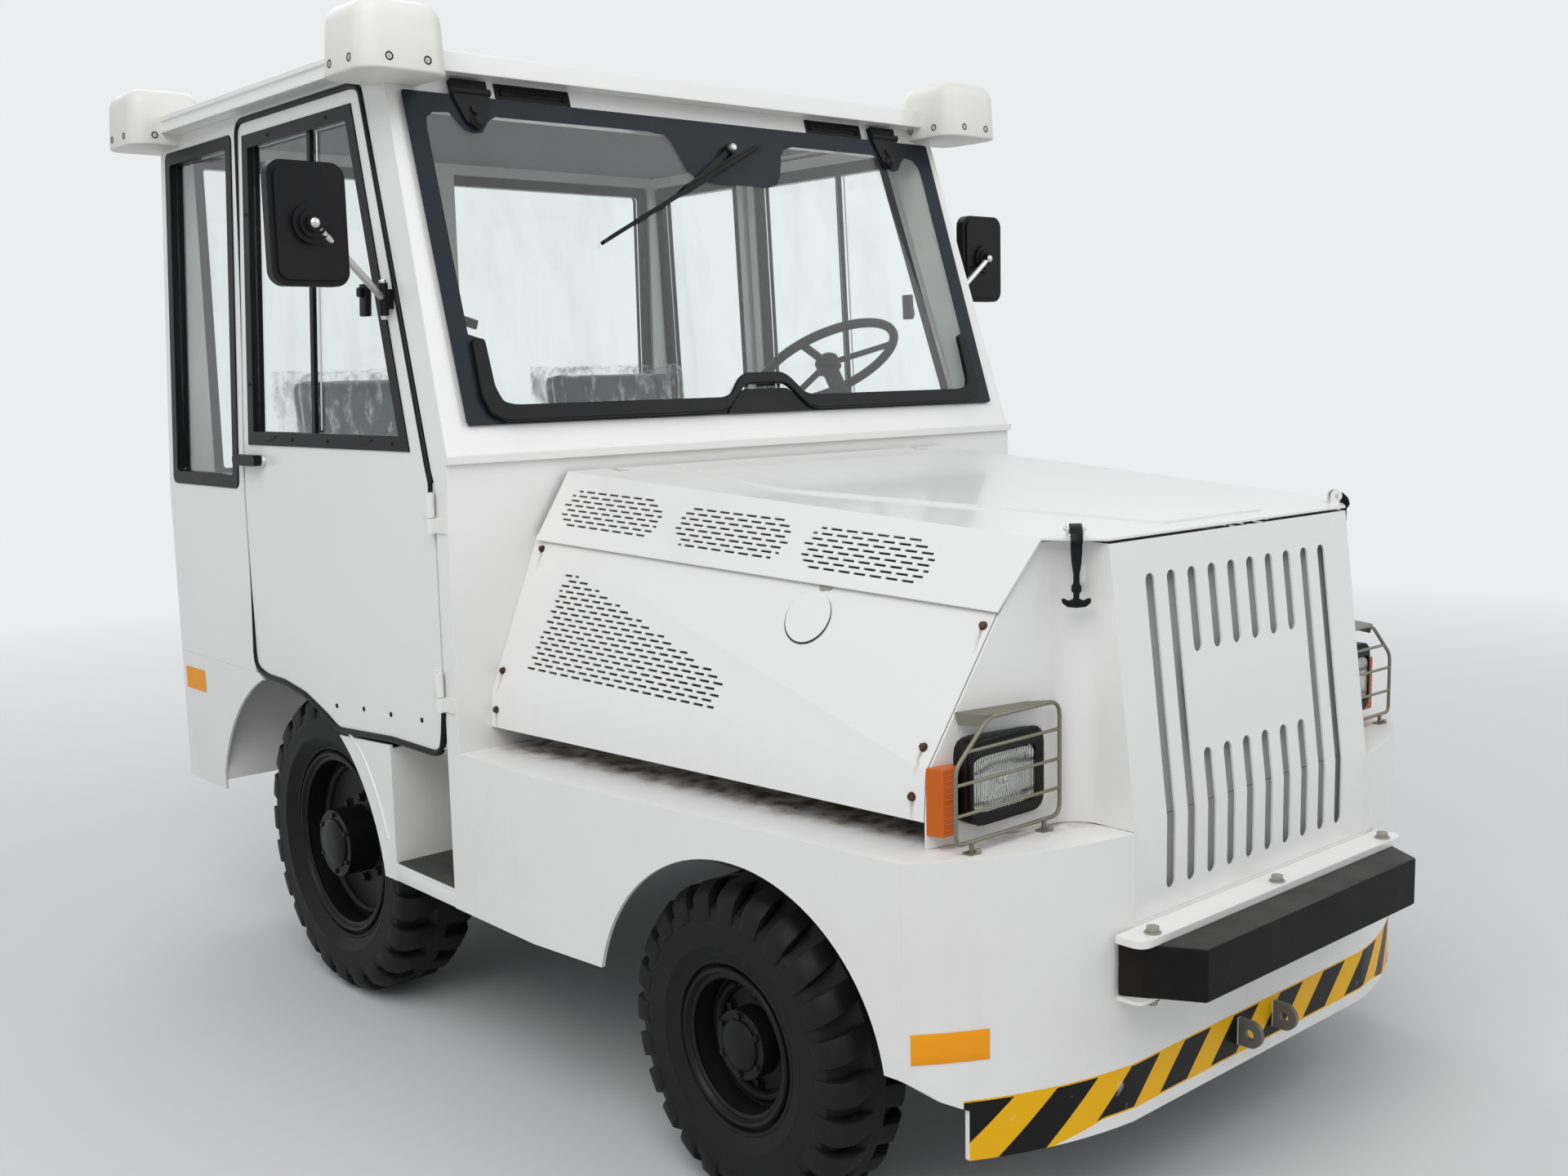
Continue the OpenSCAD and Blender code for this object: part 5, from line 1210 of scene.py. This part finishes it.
def make_mirror(name, side):
    """Glass on the rear face of a mirror, and its bright arm with the ball joint."""
    head = Vector((side * 1.040, 0.050 if side < 0 else 0.170, 1.755))
    glass = plate(f"mirror_glass_{name}", box_path(0.130, 0.207, radius=0.020), 0.0015,
                  place_at(head + Vector((0, 0.0168, 0)), X, Y), bevel=0.0005)
    carry(glass, "glass", "mirror_glass", f"door_{name}")
    foot, end = Vector((side * 0.8473, 0.1204, 1.618)), head - Vector((0, 0.034, 0))
    way = (end - foot).normalized()
    arm = tube("arm", [foot + way * 0.010, end - way * 0.004], 0.0079)
    profile = [(0, -0.013), (0.007, -0.011), (0.0115, -0.006), (0.013, 0), (0.0115, 0.006), (0.007, 0.011),
               (0, 0.013)]
    ball = lathe("ball", profile, place_at(end, Z, way), steps=24)
    nuts = copies(hex_bolt(0.0075), [place_at(foot + Vector((0, 0, up)), X, (0, 0, up))
                                     for up in (-0.034, 0.032)], "nuts")
    carry(join([arm, ball, nuts], f"mirror_arm_{name}"), "galvanised", "bright_steel", f"door_{name}")


# Cab inside
SEAT_X, SEAT_GAP = 0.390, 0.780
SEAT_HALF = 0.228
BACK = shift(SEAT_X, 0.985, 1.070) @ turned(radians(-8), "X")
FILM_WIDE = 0.560
CLOTH_FRAMES = 20


def pad_form(name, low, high, place=None):
    """The slightly small form from which a pad swells."""
    form = block(name, low, high, place, bevel=0.022, segments=4)
    apply_modifier(form, "REMESH", mode="VOXEL", voxel_size=0.008, use_smooth_shade=True)
    return form


def swell(forms, cap):
    """Cloth under light pressure rounds the forms; no point moves further than the cap."""
    for form in forms:
        settings = form.modifiers.new("swell", "CLOTH").settings
        settings.use_pressure = True
        settings.uniform_pressure_force = 4.0
        settings.effector_weights.gravity = 0
        settings.quality = 4
    for number in range(1, CLOTH_FRAMES + 1):
        bpy.context.scene.frame_set(number)
    graph = bpy.context.evaluated_depsgraph_get()
    swollen = [[v.co.copy() for v in form.evaluated_get(graph).data.vertices] for form in forms]
    for form, places in zip(forms, swollen):
        form.modifiers.clear()
        for vertex, place in zip(form.data.vertices, places):
            step = place - vertex.co
            vertex.co += step * min(1.0, cap / step.length if step.length else 1.0)
    bpy.context.scene.frame_set(1)


def sew(form, place, lines, deep=0.006, width=0.011):
    """Sewn channels: points near a line of the pad's own frame are drawn in from its face."""
    back = place.inverted()
    for vertex in form.data.vertices:
        local = back @ vertex.co
        pull = sum(deep * exp(-((local[axis] - at) / width) ** 2) for axis, at in lines)
        vertex.co -= vertex.normal * pull


def piping(form, place, half_w, half_h, level, count=72):
    """A cord round the pad at one depth of its frame, on the line that is met from outside."""
    faces = surface(form.data)
    middle = place @ Vector((0, 0, level))
    loop = []
    for i in range(count):
        c, s = cos(tau * i / count), sin(tau * i / count)
        reach = 1 / (abs(c) ** 6 + abs(s) ** 6) ** (1 / 6)
        spot = place @ Vector((half_w * 1.3 * c * reach, half_h * 1.3 * s * reach, level))
        hit = faces.ray_cast(spot, (middle - spot).normalized())[0]
        if hit is not None:
            loop.append(hit)
    return tube("pipe", loop, 0.0038, closed=True)


def make_seat_film():
    """Wrapping film over the back, pinched together beyond its sides."""
    run = bend([(-0.013, 0.040), (-0.013, 0.420), (0.100, 0.420), (0.100, 0.080)], 0.045, steps=6)
    lengths = [0.0]
    for a, b in zip(run, run[1:]):
        lengths.append(lengths[-1] + (b - a).length)

    def lie(u, v):
        x, at = u * FILM_WIDE, (v + 0.5) * lengths[-1]
        k = max(i for i, length in enumerate(lengths[:-1]) if length <= at + 1e-9)
        spot = run[k].lerp(run[k + 1], (at - lengths[k]) / (lengths[k + 1] - lengths[k]))
        pinch = min(1, max(0, (abs(x) - 0.238) / 0.030))
        folds = (smooth_noise(Vector((x * 9, at * 26, 3.1))) * 0.006
                 + smooth_noise(Vector((x * 40, at * 14, 7.7))) * 0.0035)
        flare = pinch * 0.010 * sin(at * 60)
        deep = spot.x * (1 - pinch) + (0.045 + flare) * pinch
        out = -1 if spot.x < 0.04 else 1
        return (x, deep + out * (abs(folds) + 0.001) * (1 - pinch),
                spot.y + (0.5 - pinch) * folds - 0.02 * pinch * (at / lengths[-1] < 0.5))
    film = moved(grid("seat_film_left", 70, 90, 1, lie), BACK)
    only(film)
    bpy.ops.object.shade_smooth()
    return film


def make_seat_base():
    """Boxed base with bellows, tray, lever and the back's hinges."""
    parts = [block("seat_base_left", (0.176, 0.635, 0.7505), (0.604, 1.045, 0.965), bevel=0.012, segments=3)]
    widen = shift(SEAT_X, 0.84, 0) @ Matrix.Diagonal((1.17, 1.17, 1, 1)) @ shift(-SEAT_X, -0.84, 0)
    for z in (0.780, 0.822, 0.864, 0.906):
        parts.append(block("fold", (0.196, 0.655, z), (0.584, 1.025, z + 0.020), widen, bevel=0.006))
    parts.append(block("tray", (0.160, 0.612, 0.962), (0.620, 1.068, 1.012), bevel=0.010, segments=3))
    parts.append(tube("lever", bend([(0.20, 0.60, 0.985), (0.20, 0.585, 0.985), (0.26, 0.585, 0.985)], 0.01), 0.005))
    for x in (0.158, 0.622):
        parts.append(block("hinge", (x - 0.008, 1.000, 0.985), (x + 0.008, 1.075, 1.110), bevel=0.004))
    return join(parts, "seat_base_left")


def make_seats():
    """Two seats: a cushion and a back of grey vinyl with white piping, on a boxed base; the backs are wrapped."""
    cushion_at = shift(SEAT_X, 0.840, 1.045)
    back_at = BACK @ shift(0, 0.045, 0.2075) @ turned(pi / 2, "X")
    cushion = pad_form("seat_cushion_left", (SEAT_X - SEAT_HALF, 0.612, 1.010), (SEAT_X + SEAT_HALF, 1.068, 1.078))
    back = pad_form("seat_back_left", (-SEAT_HALF, 0.010, 0.012), (SEAT_HALF, 0.078, 0.403), BACK)
    swell([cushion, back], 0.014)
    sew(cushion, cushion_at, [(0, -0.135), (0, 0.135), (1, 0.060)])
    sew(back, back_at, [(0, -0.135), (0, 0.135)])
    for form in (cushion, back):
        apply_modifier(form, "SUBSURF", levels=1, render_levels=1)
        only(form)
        bpy.ops.object.shade_smooth()
    pipes = join([piping(cushion, cushion_at, 0.24, 0.24, 0.012), piping(back, back_at, 0.24, 0.21, 0.016),
                  piping(back, back_at, 0.24, 0.21, -0.016)], "seat_piping_left")
    film, base = make_seat_film(), make_seat_base()
    beside = shift(-SEAT_GAP, 0, 0)
    for piece, slot, material in ((cushion, "seat_vinyl", None), (back, "seat_vinyl", None),
                                  (pipes, "seat_vinyl", "piping"), (film, "glass", "clear_film"),
                                  (base, "black_plastic", None)):
        twin = moved(twin_of(piece, piece.name.replace("left", "right")), beside)
        for item in (piece, twin):
            carry(item, slot, material, replaces=["seats"] if piece in (cushion, back, base) else ())
            piece in (cushion, back)
            piece == film


def make_headliner():
    """Grey padded board under the roof; its dark grey is painted shade inside the cab."""
    board = plate("headliner_painted_shade", rect(-0.742, 0.262, 0.742, 1.296, 0.03), 0.008, shift(0, 0, 2.0735), bevel=0.003)
    carry(board, "seat_vinyl", "headliner_painted_shade")


def make_controls():
    """Dials, switches, levers and pedals round the steering wheel."""
    profile = [(0, 0), (0.031, 0), (0.031, 0.006), (0.028, 0.009), (0.026, 0.009), (0.026, 0.004), (0, 0.004)]
    dial = lathe("dial", profile, steps=36, bevel=0.0006)
    needle = block("needle", (-0.0012, -0.004, 0.0042), (0.0012, 0.018, 0.0052), bevel=0.0004)
    places = seats_on("dashboard", [(x, 1.0, 1.330) for x in (0.395, 0.470, 0.545)], (0, -1, 0))
    carry(copies(dial, places, "dials"), "black_plastic", "dial_face")
    needles = [place @ turned(angle) for place, angle in zip(places, (0.6, -0.9, 0.2))]
    carry(copies(needle, needles, "dial_needles"), "cream_plastic")
    switch = join([block("switch", (-0.010, -0.016, 0), (0.010, 0.016, 0.007), bevel=0.0025),
                   block("rocker", (-0.006, -0.012, 0.006), (0.006, 0.012, 0.010))], "switch")
    places = seats_on("dashboard", [(0.10 + i * 0.030, 1.0, 1.250) for i in range(6)], (0, -1, 0))
    carry(copies(switch, places, "switches"), "black_plastic")
    profile = [(0, 0), (0.004, 0), (0.004, 0.110), (0.012, 0.118), (0.014, 0.130), (0.010, 0.142), (0, 0.146)]
    places = [place_at((x, 0.090, 1.250), X, (0, 0.35, 1)) for x in (0.05, 0.0)]
    carry(copies(lathe("knob", profile, steps=20), places, "levers"), "black_plastic")
    ribs = [block("rib", (-0.030, y - 0.003, 0.007), (0.030, y + 0.003, 0.011), bevel=0.001)
            for y in (-0.03, -0.01, 0.01, 0.03)]
    stalk = tube("stalk", bend([(0, -0.02, 0.004), (0, -0.02, -0.06), (0, 0.05, -0.16)], 0.03), 0.006)
    pedal = join([block("pedal", (-0.035, -0.045, 0), (0.035, 0.045, 0.008), bevel=0.003), *ribs, stalk], "pedal")
    places = [place_at((x, 0.150, 0.870), X, (0, 0.65, 0.76)) for x in (0.36, 0.56)]
    carry(copies(pedal, places, "pedals"), "black_rubber")
    profile = [(0, 0), (0.030, 0), (0.030, 0.004), (0.022, 0.012), (0.008, 0.015), (0, 0.015)]
    cap = lathe("wheel_cap", profile, shift(0.470, 0.200, 1.470) @ turned(radians(-32), "X") @ shift(0, 0, 0.009),
                steps=36)
    carry(cap, "black_plastic", body="steering_wheel")


def make_rear():
    """Bezels and ribs of the rear lamps, catches of the rear windows, and the hitch's pin with its loop."""
    low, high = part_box("tail_lamps")
    x, z = HALF - 0.190, (low.z + high.z) / 2
    bezel = plate("bezel", box_path(0.132, 0.092, x, z, 0.014), 0.010, shift(0, low.y, 0) @ UPRIGHT, bevel=0.002,
                  holes=[box_path(0.112, 0.072, x, z, 0.008)])
    carry(both_sides(bezel, "lamp_bezels"), "black_rubber")
    rib = block("rib", (x - 0.052, high.y - 0.0005, -0.0014), (x + 0.052, high.y + 0.0018, 0.0014), bevel=0.0009)
    places = [on_side(side, shift(0, 0, z + (i - 2.5) * 0.011)) for side in (-1, 1) for i in range(6)]
    carry(copies(rib, places, "lamp_ribs"), "red_lens")
    catch = join([block("catch", (-0.014, -0.032, 0), (0.014, 0.032, 0.016), bevel=0.003),
                  block("pull", (-0.009, -0.024, 0.012), (0.009, -0.004, 0.028), bevel=0.003)], "catch")
    places = seats_on("cab_glass", [(side * 0.062, 0.8, 1.620) for side in (-1, 1)], Y)
    carry(copies(catch, places, "rear_window_catches"), "black_plastic")
    profile = [(0, 0), (0.0155, 0), (0.0155, 0.300), (0.026, 0.302), (0.026, 0.316), (0.012, 0.322),
               (0.008, 0.350), (0, 0.352)]
    pin = lathe("pin", profile, shift(0, REAR_HITCH_Y, 0.310), steps=32, bevel=0.001)
    loop = tube("loop", [(0.0, REAR_HITCH_Y + 0.022 * cos(t), 0.672 + 0.022 * sin(t))
                         for t in [tau * i / 20 for i in range(20)]], 0.004, closed=True)
    carry(join([pin, loop], "hitch_pin"), "galvanised")


# Stage: a pale floor, a pale surround and soft light
SURROUND = (0.84, 0.85, 0.86)
SOFT_LAMP_SIZE = 4.0
# Soft lamps: place and watts; they look at one point of the object
SOFT_LAMPS = [((-3.5, -2.5, 5.0), 160), ((3.5, -4.5, 4.5), 90), ((1.0, 5.0, 5.0), 100)]
LAMPS_LOOK_AT = Vector((0, 0, 0.9))


def seen_directly(tree):
    """1 for what the eye sees straight, in gloss or through glass."""
    path = add_node(tree, "LightPath").outputs
    mirrored = Value(tree, path["Is Glossy Ray"]).higher(path["Is Transmission Ray"])
    return Value(tree, path["Is Camera Ray"]).higher(mirrored)


def mix_shaders(tree, factor, a, b, output):
    mix = add_node(tree, "MixShader")
    for socket, value in zip(mix.inputs, (factor, a.outputs[0], b.outputs[0])):
        link_or_set(tree, socket, value)
    tree.links.new(mix.outputs[0], tree.nodes[output].inputs["Surface"])


def make_stage():
    deselect()
    bpy.ops.mesh.primitive_plane_add(size=60, location=(0, 0, -0.0005))
    floor = bpy.context.object
    floor.name = "floor"
    material, tree, bsdf = new_material("floor", Base_Color=(0.66, 0.66, 0.655), Roughness=0.85)
    # Away from the object the floor fades into the pale surround
    shown = add_node(tree, "Emission", Color=SURROUND, Strength=1.0)
    away = add_node(tree, "VectorMath", {"operation": "LENGTH"}, Vector=surface_of(tree)).outputs["Value"]
    mix_shaders(tree, Value(tree, away).scaled(2.4, 7.5) * seen_directly(tree), bsdf, shown, "Material Output")
    floor.data.materials.append(material)
    world = bpy.data.worlds.new("surround")
    bpy.context.scene.world = world
    world.use_nodes = True
    tree = world.node_tree
    light = tree.nodes["Background"]
    for key, value in (("Color", (0.92, 0.95, 1.0)), ("Strength", 0.56)):
        link_or_set(tree, light.inputs[key], value)
    shown = add_node(tree, "Background", Color=SURROUND, Strength=1.0)
    mix_shaders(tree, seen_directly(tree), light, shown, "World Output")
    for index, (place, watts) in enumerate(SOFT_LAMPS):
        data = bpy.data.lights.new(f"soft_{index}", "AREA")
        data.shape = "SQUARE"
        data.size = SOFT_LAMP_SIZE
        data.energy = watts
        lamp = bpy.data.objects.new(data.name, data)
        bpy.context.scene.collection.objects.link(lamp)
        aim = LAMPS_LOOK_AT - Vector(place)
        lamp.matrix_world = shift(place) @ aim.to_track_quat("-Z", "Y").to_matrix().to_4x4()
    bpy.context.scene.view_settings.view_transform = "Standard"


make_camera()
make_stage()
dress_nodes()
# Widths of the rounding that each node's sharp edges get; a star stands for right and left
SOFTENED = {
    "front_body": 0.0015, "nose_panel": 0.0012, "side_panels": 0.0012, "hood": 0.0012, "rear_body": 0.0015,
    "tow_hitch": 0.002, "cab_front": 0.003, "cab_rear": 0.003, "roof": 0.004, "door_*": 0.0025,
    "chassis_frame": 0.002, "dashboard": 0.006, "engine_block": 0.01, "indicators": 0.002, "tail_lamps": 0.003,
    "screen_fittings": 0.001, "mirror_*": 0.003, "front_rim_*": 0.0012, "rear_rim_*": 0.0012,
    "door_frame_*": 0.0015, "window_frames": 0.0012, "front_axle": 0.003, "rear_axle": 0.003,
    "knuckle_*": 0.002, "radiator": 0.002, "cab_floor": 0.001,
}
SPECIAL = {"front_body": "front_paint", "side_panels": "panel_paint"}
for node, width in SOFTENED.items():
    for name in (SIDES if "*" in node else [""]):
        soften(node.replace("*", name), width, SPECIAL.get(node))
# Axles: hub radius, how far out the hub stands, wheel nuts and their size
AXLES = {"front": (0.062, 0.058, 6, 0.0085), "rear": (0.080, 0.092, 8, 0.0105)}
for name, side in SIDES.items():
    for axle, hub in AXLES.items():
        tyre_piece(axle, name, side)
        rim_details(axle, name, side, *hub)
make_windscreen()
make_screen_details()
make_bumper()
for name, side in SIDES.items():
    make_side_details(name, side)
make_front()
make_lamps()
make_guards()
make_latches()
make_steps()
make_roof_caps()
for make in (make_door_seals, make_door_fittings, make_mirror):
    for name, side in SIDES.items():
        make(name, side)
make_seats()
make_headliner()
make_controls()
make_rear()
